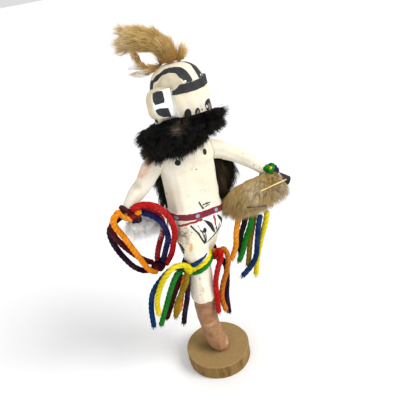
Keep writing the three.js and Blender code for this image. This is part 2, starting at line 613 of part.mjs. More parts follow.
const fluff = limb(fluffStations, { steps: 7, sides: 12, side: [0, 0, 1], ripple: locks(5, 0.06, 2) });
const rightWrap = wrapSolid([-52.6, 0.1, 171], [-17, -1, -17], 4.4, 3, [[-51.5, -3.4, 166.5, 4.6]]);
const leftWrapFacts = [[65, -23.5, 161.9], [11, -8, -13], 4.5, 2, [[63.4, -25.6, 166, 2.4]]];
const leftWrap = wrapSolid(...leftWrapFacts);
const rightTieFacts = [[-2.8, 0.4, 101], [-0.39, 0.22, 1], 10.4, 3, [[-15.6, -1.6, 98, 5.6]]];
const rightTie = wrapSolid(...rightTieFacts);
const leftTie = wrapSolid([8.2, 8.5, 101.5], [0.1, 0.72, -0.69], 9.2, 2, [[12.6, -1.4, 98.6, 4.8]]);
const standingSide = new THREE.BoxGeometry(60, 80, 80).translate(-28.5, 0, baseThick + 101.5 * share);
const hoopKnot = wrapSolid([-29.6, 22, 99.6], [0, 0, 1], 0, 0, [[-29.6, 22, 99.6, 6.8]]);
add('right_wrist_wrap', without(rightWrap, [clearRightArm, ...socketsOf('hoop_')]), 0x8c1220, 0.9);
add('right_hand_fluff', without(fluff, [clearRightArm, rightWrap, ...socketsOf('hoop_')]), 0xe6e0d2, 0.9);
add('left_hand_fur', without(handFur, [clearBody, clearLeftArm, wrapSolid(...leftWrapFacts, gap), ...clearSticks,
  ...socketsOf('hand_')]), tanFur, 0.9);
add('hoop_knot', without(hoopKnot, socketsOf('hoop_')), 0x4a0f1c, 0.9);
add('left_wrist_wrap', leftWrap.subtract(clearLeftArm), 0x1b8c1d, 0.9);
add('right_knee_tie', without(rightTie, [clearBody, ...socketsOf('knee_'), ...socketsOf('shin_yarn_red')]),
  0xe6d20f, 0.9);
add('left_knee_tie', without(leftTie, [toSolid(standingSide), wrapSolid(...rightTieFacts, gap), clearBody,
  ...socketsOf('shin_')]), 0x4a0f1c, 0.9);

for (const [name, route] of Object.entries(routes)) {
  add(name, yarnTube(route, yarnDiameter), yarnColours[name.split('_')[2]], 0.9);
}

export default figure;
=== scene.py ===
# A carved kachina doll: painted root wood on a sawn disc, with real fur, wool yarn and two thin sticks.
# Lengths in the tables are millimetres. Heights in them are measured from the disc's top.
import math

import bpy
import numpy as np
from mathutils import Matrix, Vector


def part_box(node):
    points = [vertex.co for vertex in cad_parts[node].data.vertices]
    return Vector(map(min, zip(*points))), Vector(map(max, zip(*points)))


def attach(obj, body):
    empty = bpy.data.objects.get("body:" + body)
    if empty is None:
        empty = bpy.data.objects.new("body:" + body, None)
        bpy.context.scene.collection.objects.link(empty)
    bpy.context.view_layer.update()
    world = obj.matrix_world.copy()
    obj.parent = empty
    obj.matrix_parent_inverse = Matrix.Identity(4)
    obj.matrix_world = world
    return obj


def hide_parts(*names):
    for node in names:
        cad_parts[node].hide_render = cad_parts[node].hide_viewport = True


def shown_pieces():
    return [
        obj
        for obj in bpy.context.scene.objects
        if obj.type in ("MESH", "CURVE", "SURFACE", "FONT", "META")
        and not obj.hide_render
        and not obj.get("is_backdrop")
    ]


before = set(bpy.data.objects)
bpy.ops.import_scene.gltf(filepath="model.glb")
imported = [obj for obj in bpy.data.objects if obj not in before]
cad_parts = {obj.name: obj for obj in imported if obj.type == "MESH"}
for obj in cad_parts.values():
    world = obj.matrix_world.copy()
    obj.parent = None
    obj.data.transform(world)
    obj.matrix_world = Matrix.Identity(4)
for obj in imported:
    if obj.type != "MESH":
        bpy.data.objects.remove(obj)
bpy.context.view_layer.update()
mm = 0.001
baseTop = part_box("base_disc")[1].z / mm  # the disc's top in the row frame
print("frame loaded:", len(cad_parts), "nodes")


# Camera at the photograph's viewing angle
camera = {"azimuth": -30, "elevation": 45.44, "distance": 447.4, "pan": 1.36, "tilt": 17.96, "roll": 11.23,
          "lens": 40, "sensor": 36, "target": (0, 0, 14)}


def makeCamera(facts):
    azimuth = math.radians(facts["azimuth"])
    elevation = math.radians(facts["elevation"])
    back = Vector((math.sin(azimuth) * math.cos(elevation), -math.cos(azimuth) * math.cos(elevation),
                   math.sin(elevation)))
    right = (-back).cross(Vector((0, 0, 1))).normalized()
    turned = Matrix((right, right.cross(-back), back)).transposed()
    for angle, axis in ((facts["tilt"], "X"), (-facts["pan"], "Y"), (-facts["roll"], "Z")):
        turned = turned @ Matrix.Rotation(math.radians(angle), 3, axis)
    lens = bpy.data.cameras.new("camera")
    lens.lens = facts["lens"]
    lens.sensor_width = facts["sensor"]
    lens.clip_start = 0.01
    made = bpy.data.objects.new("camera", lens)
    bpy.context.scene.collection.objects.link(made)
    place = (Vector(facts["target"]) + back * facts["distance"]) * mm
    made.matrix_world = Matrix.Translation(place) @ turned.to_4x4()
    bpy.context.scene.camera = made


makeCamera(camera)


# Shader work: a Wire is a socket on its way through a finish's nodes, and plain maths on it adds Math nodes
class Wire:
    def __init__(self, finish, socket):
        self.finish = finish
        self.socket = socket

    def maths(self, operation, *values):
        return self.finish.node("ShaderNodeMath", {"operation": operation}, dict(enumerate(values)))

    def __add__(self, other):
        return self.maths("ADD", self, other)

    def __radd__(self, other):
        return self.maths("ADD", other, self)

    def __sub__(self, other):
        return self.maths("SUBTRACT", self, other)

    def __rsub__(self, other):
        return self.maths("SUBTRACT", other, self)

    def __mul__(self, other):
        return self.maths("MULTIPLY", self, other)

    def __rmul__(self, other):
        return self.maths("MULTIPLY", other, self)

    def __pow__(self, other):
        return self.maths("POWER", self, other)

    def between(self, low, high):  # 0 below low, 1 above high, smooth on the way
        return self.finish.node("ShaderNodeMapRange", {"interpolation_type": "SMOOTHSTEP"},
                                {"Value": self, "From Min": low, "From Max": high})

    def inside(self, soft):  # 1 where a distance is below 0
        return 1 - self.between(-soft, soft)


class Finish:
    def __init__(self, name):
        self.material = bpy.data.materials.new(name)
        self.material.use_nodes = True
        self.tree = self.material.node_tree
        self.tree.nodes.clear()

    def node(self, kind, settings=None, values=None, output=0):
        made = self.tree.nodes.new(kind)
        for key, value in (settings or {}).items():
            setattr(made, key, value)
        for key, value in (values or {}).items():
            if isinstance(value, Wire):
                self.tree.links.new(value.socket, made.inputs[key])
            else:
                made.inputs[key].default_value = value
        return Wire(self, made.outputs[output]) if made.outputs else None

    def where(self):
        return self.node("ShaderNodeTexCoord", {}, {}, 3)

    def number(self, name):  # a number that the mesh keeps at its points
        return self.node("ShaderNodeAttribute", {"attribute_name": name}, {}, 2)

    def noise(self, scale, detail=4, rough=0.55, stretch=None):
        where = self.where()
        if stretch:
            where = self.node("ShaderNodeMapping", {}, {"Vector": where, "Scale": stretch})
        return self.node("ShaderNodeTexNoise", {}, {"Vector": where, "Scale": scale, "Detail": detail,
                                                    "Roughness": rough})

    def mix(self, share, first, second):
        both = [value if isinstance(value, Wire) else (*value, 1) for value in (first, second)]
        return self.node("ShaderNodeMix", {"data_type": "RGBA"},
                         {0: share, 6: both[0], 7: both[1]}, 2)

    def done(self, colour, rough, bump=None, depth=0.2, sheen=0, specular=0.4):
        values = {"Base Color": colour, "Roughness": rough, "Sheen Weight": sheen,
                  "Specular IOR Level": specular}
        if bump is not None:
            values["Normal"] = self.node("ShaderNodeBump", {},
                                         {"Height": bump, "Strength": 1, "Distance": depth * mm})
        shader = self.node("ShaderNodeBsdfPrincipled", {}, values)
        self.node("ShaderNodeOutputMaterial", {}, {"Surface": shader})
        return self.material


# Mesh work on arrays of points, in millimetres of the row frame
def meshPiece(name, points, faces, materials, numbers=None, chosen=None):
    mesh = bpy.data.meshes.new(name)
    corners = np.concatenate([block.ravel() for block in faces])
    sizes = np.concatenate([np.full(len(block), block.shape[1]) for block in faces])
    starts = np.concatenate([[0], np.cumsum(sizes)[:-1]])
    mesh.vertices.add(len(points))
    mesh.vertices.foreach_set("co", (np.asarray(points, float) * mm).astype(np.float32).ravel())
    mesh.loops.add(len(corners))
    mesh.loops.foreach_set("vertex_index", corners.astype(np.int32))
    mesh.polygons.add(len(sizes))
    mesh.polygons.foreach_set("loop_start", starts.astype(np.int32))
    for material in materials:
        mesh.materials.append(material)
    if chosen is not None:
        mesh.polygons.foreach_set("material_index", np.asarray(chosen, np.int32))
    mesh.update(calc_edges=True)
    mesh.shade_smooth()
    for key, values in (numbers or {}).items():
        mesh.attributes.new(key, "FLOAT", "POINT").data.foreach_set("value", np.asarray(values, np.float32))
    made = bpy.data.objects.new(name, mesh)
    bpy.context.scene.collection.objects.link(made)
    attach(made, "root")
    return made


def ringFaces(rows, count, flipped=False):  # quads between stacked rings, and fans to the last two points
    start = (np.arange(rows - 1) * count)[:, None]
    spin = np.arange(count)
    ahead = (spin + 1) % count
    quads = [start + spin, start + ahead, start + ahead + count, start + spin + count]
    quads = np.stack(quads, axis=2).reshape(-1, 4)
    tip = rows * count
    fans = np.concatenate([np.stack([np.full(count, tip), ahead, spin], axis=1),
                           np.stack([np.full(count, tip + 1), tip - count + spin, tip - count + ahead],
                                    axis=1)])
    return [quads[:, ::-1], fans[:, ::-1]] if flipped else [quads, fans]


def unit(vectors):
    return vectors / (np.linalg.norm(vectors, axis=1, keepdims=True) + 1e-9)


def carvedCopy(node, voxel, rounds):  # the node's own shape as even, smooth quads
    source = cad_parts[node]
    copy = source.copy()
    copy.data = source.data.copy()
    copy.parent = None
    bpy.context.scene.collection.objects.link(copy)
    remesh = copy.modifiers.new("even", "REMESH")
    remesh.mode = "VOXEL"
    remesh.voxel_size = voxel * mm
    evaluated = copy.evaluated_get(bpy.context.evaluated_depsgraph_get())
    mesh = evaluated.to_mesh()
    points = np.zeros(len(mesh.vertices) * 3)
    mesh.vertices.foreach_get("co", points)
    quads = np.zeros(len(mesh.polygons) * 4, np.int64)
    mesh.polygons.foreach_get("vertices", quads)
    evaluated.to_mesh_clear()
    bpy.data.objects.remove(copy)
    points = points.reshape(-1, 3) / mm
    quads = quads.reshape(-1, 4)
    return evened(points, quads, rounds), quads


def evened(points, quads, rounds):  # smooths without shrinking
    pairs = np.concatenate([quads[:, [k, (k + 1) % 4]] for k in range(4)])
    pairs = np.unique(np.sort(pairs, axis=1), axis=0)
    first, second = pairs[:, 0], pairs[:, 1]
    count = len(points)
    share = np.bincount(first, minlength=count) + np.bincount(second, minlength=count)
    for i in range(2 * rounds):
        pull = 0.5 if i % 2 == 0 else -0.52
        for k in range(3):
            total = (np.bincount(first, points[second, k], count)
                     + np.bincount(second, points[first, k], count))
            points[:, k] += pull * (total / share - points[:, k])
    return points


def outward(points, quads):
    a, b, c, d = (points[quads[:, k]] for k in range(4))
    across = np.cross(c - a, d - b)
    out = np.zeros_like(points)
    for k in range(4):
        for axis in range(3):
            out[:, axis] += np.bincount(quads[:, k], across[:, axis], len(points))
    return unit(out)


def wobble(points, size, seed):  # smooth noise from -1 to 1, about size millimetres from hump to hump
    rng = np.random.default_rng(seed)
    total = np.zeros(len(points))
    for _ in range(7):
        way = rng.normal(size=3)
        way /= np.linalg.norm(way)
        total += np.sin(points @ way * (2 * math.pi / size * rng.uniform(0.6, 1.5)) + rng.uniform(0, 6.3))
    return total / 3.2


def rise(value, low, high):
    share = np.clip((value - low) / (high - low), 0, 1)
    return share * share * (3 - 2 * share)


# Distances on the painted surfaces, below 0 inside a shape
def stroke(flat, ends, halfWide):
    spots = np.array(ends, float)
    best = np.full(len(flat), 1e3)
    for a, b in zip(spots[:-1], spots[1:]):
        run = b - a
        share = np.clip(((flat - a) @ run) / (run @ run), 0, 1)[:, None]
        best = np.minimum(best, np.linalg.norm(flat - a - share * run, axis=1))
    return best - halfWide


def patch(flat, corners):  # a closed outline
    spots = np.array(corners, float)
    distance = stroke(flat, [*corners, corners[0]], 0)
    within = np.zeros(len(flat), bool)
    for a, b in zip(spots, np.roll(spots, -1, axis=0)):
        crosses = (a[1] > flat[:, 1]) != (b[1] > flat[:, 1])
        with np.errstate(divide="ignore", invalid="ignore"):
            level = (b[0] - a[0]) * (flat[:, 1] - a[1]) / (b[1] - a[1]) + a[0]
        within ^= crosses & (flat[:, 0] < level)
    return np.where(within, -distance, distance)


def oval(flat, middle, halfWide, halfTall, turned=0):
    c, s = math.cos(math.radians(turned)), math.sin(math.radians(turned))
    x, y = (flat - np.array(middle)).T
    across, up = (x * c + y * s) / halfWide, (y * c - x * s) / halfTall
    return (np.hypot(across, up) - 1) * min(halfWide, halfTall)


def rowPoint(spot):
    return np.array([spot[0], spot[1], baseTop + spot[2]], float)


# Wool yarn: twisted plies along a smooth route
wool = {"diameter": 3.8, "loft": 1.3, "pitch": 15, "groove": 0.2, "sides": 15, "step": 0.9, "endTaper": 0.72,
        "fuzzHairs": 110, "fuzzWidth": 0.12, "fuzzLength": 1.4, "fuzzReach": 3.6,
        "tieHairs": 40, "tieFuzz": 0.9,
        "endHairs": 36, "endWidth": 0.42, "endLength": (1.2, 4.6), "endReach": 3.9}
woolColours = {
    "red": (0.38, 0.005, 0.004), "navy": (0.009, 0.009, 0.07), "crimson": (0.22, 0.004, 0.008),
    "orange": (0.78, 0.235, 0.004), "maroon": (0.06, 0.003, 0.008), "plum": (0.014, 0.003, 0.015),
    "blue": (0.002, 0.026, 0.105), "yellow": (0.68, 0.54, 0.006), "green": (0.004, 0.15, 0.007),
    "olive": (0.24, 0.14, 0.005), "black": (0.007, 0.007, 0.01), "ochre": (0.66, 0.24, 0.012),
    "denim": (0.002, 0.022, 0.085), "rust": (0.44, 0.12, 0.006),
}
# Yarns whose dye isn't the one in their name
woolOf = {"hand_yarn_navy": "denim", "hand_yarn_orange": "ochre", "shin_yarn_orange": "rust"}
routes = {
    "hoop_yarn_red": [[-51.5, -6, 174.5], [-48.5, -8.5, 176.8], [-43.5, -9.8, 176.3], [-35.5, -11, 172],
                      [-29, -11, 163.5], [-25, -10, 154.5], [-22.5, -7, 141], [-22, 0, 128], [-21.5, 9, 113],
                      [-24, 19, 98.5]],
    "hoop_yarn_navy": [[-47.5, -0.8, 169], [-41.5, -4.5, 166.5], [-35.5, -6, 161], [-30, -5, 152],
                       [-26, -1, 136.5], [-25.5, 10, 118.5], [-26.5, 18.5, 103.5]],
    "hoop_yarn_crimson": [[-46.5, 2.5, 167.5], [-38.5, 0.5, 166], [-31, 0, 159.5], [-27, 1, 151.5],
                          [-26.5, 5, 139.5], [-28, 11, 128], [-29.5, 17.5, 115], [-30, 21.5, 105.5]],
    "hoop_yarn_orange": [[-59, -2, 175.5], [-63.9, 0.5, 170.5], [-63.3, 4, 162.5], [-58, 8, 149.5],
                         [-53, 12, 136], [-48, 15.5, 122.5], [-43.5, 18.5, 109.5], [-38.5, 20.5, 99],
                         [-33, 21, 94.5]],
    "hoop_yarn_maroon": [[-58.5, 4.5, 170], [-63.5, 10, 160.5], [-62.8, 14, 150], [-58.5, 17, 139.5],
                         [-52.5, 19.5, 128], [-45, 22, 116], [-38.5, 23.4, 108], [-33.5, 24.2, 103]],
    "hoop_yarn_plum": [[-54.5, 7.5, 166], [-59.5, 13.5, 160.5], [-63.5, 17.8, 153.5], [-63, 21.5, 142.5],
                       [-60, 24, 130.5], [-55.5, 25.8, 118.5], [-49, 26.8, 105.5], [-41, 26.4, 97.5],
                       [-33.5, 25.2, 96]],
    "knee_yarn_blue": [[-20, 0.5, 102.5], [-27.5, 2, 104], [-36.5, 8, 95.5], [-44.5, 14, 82.5],
                       [-48.5, 17, 66], [-50.5, 17.5, 46]],
    "knee_yarn_yellow": [[-21.5, -2, 106.5], [-28.5, -2, 107.5], [-36.5, 2.5, 98.5], [-41.5, 8, 85],
                         [-44.5, 11.5, 71.5], [-45, 12, 60]],
    "knee_yarn_green": [[-19.5, 1.5, 98.5], [-25, 1.5, 96.5], [-31.5, 5, 83.5], [-36.5, 8.5, 69.5],
                        [-41, 12, 56], [-45, 14, 46]],
    "knee_yarn_olive": [[-17.5, -3.5, 98], [-20, -3, 88.5], [-25.5, 0.5, 77], [-30.5, 3.5, 66],
                        [-33, 5.5, 53]],
    "knee_yarn_maroon": [[-19, 6.5, 92.5], [-22.5, 8.5, 81.5], [-27.5, 11.5, 69.5], [-32.5, 14, 57.5],
                         [-37, 16.5, 47]],
    "knee_yarn_orange": [[-16, 4, 90], [-20, 4.5, 81], [-23.5, 6, 69], [-26.5, 7, 59], [-30, 9, 52]],
    "knee_yarn_plum": [[-16, -0.5, 91], [-18, 0, 80.5], [-21, 1.5, 66.5], [-24.5, 3.5, 54],
                       [-27, 5.5, 41.5]],
    "shin_yarn_red": [[8.5, -7, 99.5], [11, -13.5, 109], [10.5, -15.5, 104], [6.5, -14, 93.5],
                      [3, -12, 79.5], [2, -11.5, 63], [1, -11, 46]],
    "shin_yarn_orange": [[12.5, -5, 97], [17, -11, 106], [19, -13, 97.5], [16, -12.5, 85], [10.5, -11, 72],
                         [7.5, -10, 57.5], [8.5, -12, 44]],
    "shin_yarn_plum": [[13.5, -3.5, 92.5], [17, -6.5, 93], [18.5, -8.5, 83.5], [17.5, -8, 70.5],
                       [15.5, -6.5, 55], [15, -6, 33.5]],
    "hand_yarn_orange": [[34.5, -20, 137.5], [31, -18, 128.5], [28.5, -16.5, 117.5], [27, -15.5, 105.5],
                         [22.5, -13, 93]],
    "hand_yarn_black": [[39.5, -19.5, 133], [37, -18, 123.5], [34, -16, 114.5], [32.5, -14.5, 104.5],
                        [32, -14, 93.5]],
    "hand_yarn_green": [[42, -24, 132.5], [39, -23, 122.5], [35, -20.5, 111.5], [31.5, -19, 100.5],
                        [27.5, -16.5, 90]],
    "hand_yarn_olive": [[46, -22, 130.5], [43, -20.5, 117.5], [40.5, -18.5, 104], [38.5, -17.5, 92],
                        [36.5, -16.5, 80.5]],
    "hand_yarn_navy": [[47.5, -27.5, 131], [45, -26, 119], [43, -25, 105.5], [40, -24.5, 92],
                       [35, -22.5, 83.5], [27, -19, 75.5]],
    "hand_yarn_yellow": [[55, -28, 131.5], [53, -27, 121.5], [49.5, -24, 107.5], [46, -22, 94],
                         [43.5, -20.5, 82], [41.5, -19.5, 69]],
}


def curveThrough(spots, step, closed=False):  # a centripetal curve, as evenly spaced points
    spots = [np.array(s, float) for s in spots]
    if closed:
        chain = [spots[-1], *spots, spots[0], spots[1]]
    else:
        chain = [2 * spots[0] - spots[1], *spots, 2 * spots[-1] - spots[-2]]
    line = []
    for a, b, c, d in zip(chain, chain[1:], chain[2:], chain[3:]):
        knots = np.concatenate([[0], np.cumsum([max(np.linalg.norm(q - p), 1e-6) ** 0.5
                                                for p, q in ((a, b), (b, c), (c, d))])])
        for t in np.linspace(knots[1], knots[2], 24, endpoint=False):
            one = [(a * (knots[1] - t) + b * t) / knots[1],
                   (b * (knots[2] - t) + c * (t - knots[1])) / (knots[2] - knots[1]),
                   (c * (knots[3] - t) + d * (t - knots[2])) / (knots[3] - knots[2])]
            two = [(one[0] * (knots[2] - t) + one[1] * t) / knots[2],
                   (one[1] * (knots[3] - t) + one[2] * (t - knots[1])) / (knots[3] - knots[1])]
            line.append((two[0] * (knots[2] - t) + two[1] * (t - knots[1])) / (knots[2] - knots[1]))
    if not closed:
        line.append(spots[-1])
    line = np.array(line)
    along = np.concatenate([[0], np.cumsum(np.linalg.norm(np.diff(line, axis=0), axis=1))])
    count = max(2, round(along[-1] / step))
    return np.array([np.interp(np.linspace(0, along[-1], count + 1), along, line[:, k]) for k in range(3)]).T


def lengthOf(line):
    return float(np.linalg.norm(np.diff(line, axis=0), axis=1).sum())


def twistedTube(line, diameter, lean=0, taper=True):  # rings of a plied section, turned as they go
    ways = unit(np.gradient(line, axis=0))
    side = np.cross(ways[0], [0.3, 0.2, 1])
    sides = wool["sides"]
    spin = np.arange(sides) * 2 * math.pi / sides
    hollow = 1 - np.abs(np.cos(1.5 * spin))
    rings = []
    along = 0
    for i, (spot, way) in enumerate(zip(line, ways)):
        side = side - way * (side @ way)
        side /= np.linalg.norm(side)
        other = np.cross(way, side)
        along += np.linalg.norm(spot - line[i - 1]) if i else 0
        turn = spin + 2 * math.pi * along / wool["pitch"] + lean
        radius = diameter / 2 * (1 - wool["groove"] * hollow ** 1.6)
        if taper and i in (0, len(line) - 1):
            radius = radius * wool["endTaper"]
        rings.append(spot + radius[:, None] * (np.cos(turn)[:, None] * side + np.sin(turn)[:, None] * other))
    points = np.concatenate([*rings, line[:1], line[-1:]])
    return points, ringFaces(len(line), sides), np.concatenate([np.tile(hollow, len(line)), [0, 0]])


# Loose hairs: closed three-sided slivers that taper to a point, from a root to a tip by way of a bend
def hairMesh(roots, bends, tips, widths, segments):
    count = len(roots)
    ways = unit(tips - roots)
    side = unit(np.cross(ways, np.array([0.31, 0.52, 0.8])))
    other = np.cross(ways, side)
    points = np.zeros((count, segments * 3 + 1, 3))
    for i in range(segments):
        t = i / segments
        centre = roots * (1 - t) ** 2 + bends * (2 * t * (1 - t)) + tips * t ** 2
        for k in range(3):
            turn = 2 * math.pi * k / 3
            ray = side * math.cos(turn) + other * math.sin(turn)
            points[:, i * 3 + k] = centre + ray * (widths * 0.5 * (1 - 0.75 * t))[:, None]
    points[:, -1] = tips
    start = (np.arange(count) * (segments * 3 + 1))[:, None, None]
    ring = np.arange(3)
    beside = (ring + 1) % 3
    quads = [np.stack([i * 3 + ring, i * 3 + beside, i * 3 + 3 + beside, i * 3 + 3 + ring], axis=1)
             for i in range(segments - 1)]
    last = (segments - 1) * 3
    ends = np.concatenate([np.stack([last + ring, last + beside, np.full(3, segments * 3)], axis=1),
                           [[0, 2, 1]]])
    faces = [(start + ends[None]).reshape(-1, 3)]
    if quads:
        faces.append((start + np.concatenate(quads)[None]).reshape(-1, 4))
    along = np.concatenate([np.repeat(np.arange(segments) / segments, 3), [1.0]])
    return points.reshape(-1, 3), faces, np.tile(along, count)


def woolFinish(name, colour):
    finish = Finish("wool_" + name)
    groove = finish.number("groove")
    fibre = finish.noise(900, 3, 0.6)
    patchy = finish.noise(90, 3)
    dark = tuple(c * 0.3 for c in colour)
    light = tuple(min(1, c * 1.25 + 0.02) for c in colour)
    # painted shade: the grooves between the plies are darkened towards the dark tone
    shade = finish.mix(groove ** 1.4 * 0.55, finish.mix(patchy.between(0.3, 0.75), colour, light), dark)
    shade = finish.mix(fibre.between(0.45, 0.75) * 0.35, shade, dark)
    return finish.done(shade, 0.9, fibre * 0.6 + patchy * 0.2, 0.25, specular=0.05)


wools = {name: woolFinish(name, colour) for name, colour in woolColours.items()}


def yarnFuzz(line, rng, hairs, longest):
    spots = line[rng.integers(1, len(line) - 1, hairs)]
    out = unit(rng.normal(size=(hairs, 3)))
    roots = spots + out * wool["diameter"] * 0.46
    loose = roots + out * rng.uniform(0.4, longest, (hairs, 1)) + rng.normal(size=(hairs, 3)) * 0.7
    tips = within(loose, spots, wool["fuzzReach"])
    return hairMesh(roots, roots + out * 0.7, tips, np.full(hairs, wool["fuzzWidth"]), 2)


def within(points, middle, reach):  # draws points back to a reach from their middle
    away = points - middle
    length = np.linalg.norm(away, axis=1, keepdims=True)
    return middle + away * np.minimum(1, reach / length)


def frayedEnd(line, rng):  # cut fibres that spread past the yarn's end
    way = unit(line[-1:] - line[-2:-1])
    hairs = wool["endHairs"]
    spread = rng.normal(size=(hairs, 3)) * 0.75
    roots = line[-1] - way * 1.2 + spread
    loose = roots + way * rng.uniform(*wool["endLength"], (hairs, 1)) + spread * 0.9
    tips = within(loose, line[-1], wool["endReach"])
    return hairMesh(roots, (roots + tips) / 2 + spread * 0.15, tips, np.full(hairs, wool["endWidth"]), 2)


def gather(blocks):  # joins (points, faces, numbers) blocks into one set of arrays
    points, quads, numbers, start = [], [], [], 0
    for spots, faces, values in blocks:
        points.append(spots)
        numbers.append(values)
        quads.extend(block + start for block in faces)
        start += len(spots)
    return np.concatenate(points), quads, np.concatenate(numbers)


def makeYarns(hoopKnot):
    rng = np.random.default_rng(11)
    for node, spots in routes.items():
        dye = node.split("_")[2]
        isHoop = node.startswith("hoop")
        placed = [rowPoint(spot) for spot in spots]
        line = curveThrough(placed, wool["step"])
        blocks = [twistedTube(line, wool["diameter"] * wool["loft"], rng.uniform(0, 6)),
                  yarnFuzz(line, rng, wool["fuzzHairs"], wool["fuzzLength"])]
        if not isHoop:
            blocks.append(frayedEnd(line, rng))
        points, faces, groove = gather(blocks)
        finish = wools[woolOf.get(node, dye)]
        yarn = meshPiece("wool_" + node, points, faces, [finish], {"groove": groove})
        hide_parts(node)
        path = curveThrough(placed, lengthOf(line) / 30) * mm


# Turns of yarn round a limb, and the knots that hold them
def turnOfYarn(centre, way, radius, level, sway=0, swayAt=0):
    way = np.array(way, float) / np.linalg.norm(way)
    side = np.cross(way, [0.2, 0.9, 0.3])
    side /= np.linalg.norm(side)
    other = np.cross(way, side)
    turns = np.linspace(0, 2 * math.pi, 25)[:-1]
    spots = [rowPoint(centre) + radius * (math.cos(t) * side + math.sin(t) * other)
             + way * (level + sway * math.cos(t - swayAt)) for t in turns]
    return curveThrough(spots, wool["step"], closed=True)


def knotOfYarn(middle, size, lean):  # one strand that passes over and under itself
    t = np.linspace(0, 2 * math.pi, 40)[:-1]
    x = np.sin(t) + 2 * np.sin(2 * t)
    y = np.cos(t) - 2 * np.cos(2 * t)
    z = -np.sin(3 * t) * 1.6
    turn = Matrix.Rotation(math.radians(lean[0]), 3, "Z") @ Matrix.Rotation(math.radians(lean[1]), 3, "X")
    spots = (np.array(turn) @ np.array([x, y, z])).T * (size / 4.6)
    return curveThrough(list(spots + rowPoint(middle)), wool["step"], closed=True)


def tiePiece(name, node, parts):
    rng = np.random.default_rng(len(name))
    blocks, chosen, used = [], [], []
    for colour, line, diameter in parts:
        if colour not in used:
            used.append(colour)
        tube = twistedTube(line, diameter, rng.uniform(0, 6), taper=False)
        fuzz = yarnFuzz(line, rng, wool["tieHairs"], wool["tieFuzz"])
        blocks += [tube, fuzz]
        chosen += [np.full(len(faces), used.index(colour)) for faces in (*tube[1], *fuzz[1])]
    points, faces, groove = gather(blocks)
    finishes = [wools[colour] for colour in used]
    made = meshPiece(name, points, faces, finishes, {"groove": groove}, np.concatenate(chosen))
    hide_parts(node)
    return made


ties = {
    "rightWrist": {"centre": (-52.6, 0.1, 171), "way": (-17, -1, -17), "radius": 5.4,
                   "turns": [("maroon", -0.4), ("ochre", 3)],
                   "knots": [("crimson", (-50.6, -4.4, 168.6), 4.8, (20, 60)),
                             ("plum", (-49.6, -4.6, 165.6), 4.2, (80, 20)),
                             ("orange", (-47.6, -6.4, 171), 2, (60, 40))]},
    "leftWrist": {"centre": (65, -23.5, 161.9), "way": (11, -8, -13), "radius": 6.5,
                  "turns": [("green", -1.7), ("navy", 1.7)],
                  "knots": [("green", (61.8, -25.2, 167), 2.5, (30, 50)),
                            ("yellow", (64.4, -27.6, 166), 1.6, (70, 20)),
                            ("navy", (67.8, -29.2, 163.8), 2.1, (0, 80))]},
    "rightKnee": {"centre": (-2.8, 0.4, 101), "way": (-0.39, 0.22, 1), "radius": 11.9,
                  "turns": [("yellow", 0.4), ("blue", 4.1), ("green", -3.1)],
                  "knots": [("yellow", (-15.4, -4, 99.8), 4.4, (40, 70)),
                            ("green", (-14.6, -1.4, 96), 3.4, (80, 50))],
                  "bridges": [("yellow", [(-11.6, -7, 99), (-15.5, -6.2, 102.6), (-19.4, -3.6, 105.8),
                                          (-22.5, -2, 106.8)]),
                              ("blue", [(-11.2, 2, 103.4), (-15, 1, 102.6), (-18.4, 0.6, 102.2),
                                        (-21.5, 0.6, 102.8)]),
                              ("green", [(-12, -3.5, 95.5), (-15.5, -1.6, 96.8), (-18.4, 1, 98.3),
                                         (-21, 1.6, 98.2)])]},
    "leftKnee": {"centre": (8.2, 8.5, 101.5), "way": (0.1, 0.72, -0.69), "radius": 11.2,
                 "turns": [("maroon", -1.7), ("orange", 1.7)],
                 "knots": [("maroon", (12.4, -1.2, 99), 3.8, (30, 60)),
                           ("ochre", (12.8, -3.4, 102), 2.6, (70, 30))]},
}


def makeTie(key, name, node):
    facts = ties[key]
    parts = []
    for i, (colour, level) in enumerate(facts["turns"]):
        line = turnOfYarn(facts["centre"], facts["way"], facts["radius"], level, 0.9, i * 2.1)
        parts.append((colour, line, wool["diameter"]))
    for colour, middle, size, lean in facts["knots"]:
        parts.append((colour, knotOfYarn(middle, size, lean), wool["diameter"]))
    for colour, spots in facts.get("bridges", []):
        parts.append((colour, curveThrough([rowPoint(s) for s in spots], wool["step"]),
                      wool["diameter"] * wool["loft"]))
    return tiePiece(name, node, parts)


hoopKnotFacts = [("maroon", (-29.6, 22, 99.8), 7.4, (20, 30)), ("plum", (-29, 21.2, 100.8), 6.4, (70, 80)),
                 ("crimson", (-30.2, 22.4, 98.6), 5.8, (50, 10))]
makeYarns(tiePiece("hoop_knot_wool", "hoop_knot",
                   [(colour, knotOfYarn(middle, size, lean), wool["diameter"] * 0.85)
                    for colour, middle, size, lean in hoopKnotFacts]))
print("yarns laid")
makeTie("rightWrist", "right_wrist_wool", "right_wrist_wrap")
makeTie("leftWrist", "left_wrist_wool", "left_wrist_wrap")
makeTie("rightKnee", "right_knee_wool", "right_knee_tie")
makeTie("leftKnee", "left_knee_wool", "left_knee_tie")
print("ties wound")


# The disc: a slice of a branch, its rings and saw marks on top
disc = {"rings": 44, "around": 150, "rows": 14, "edge": 1.1, "uneven": 0.35, "sawDepth": 0.12,
        # the last two entries place a painted shadow of the foot on the disc's top
        "heart": (5, 9), "footShadow": [(-12, 6), (-8, -2)], "footShadowWide": 6}


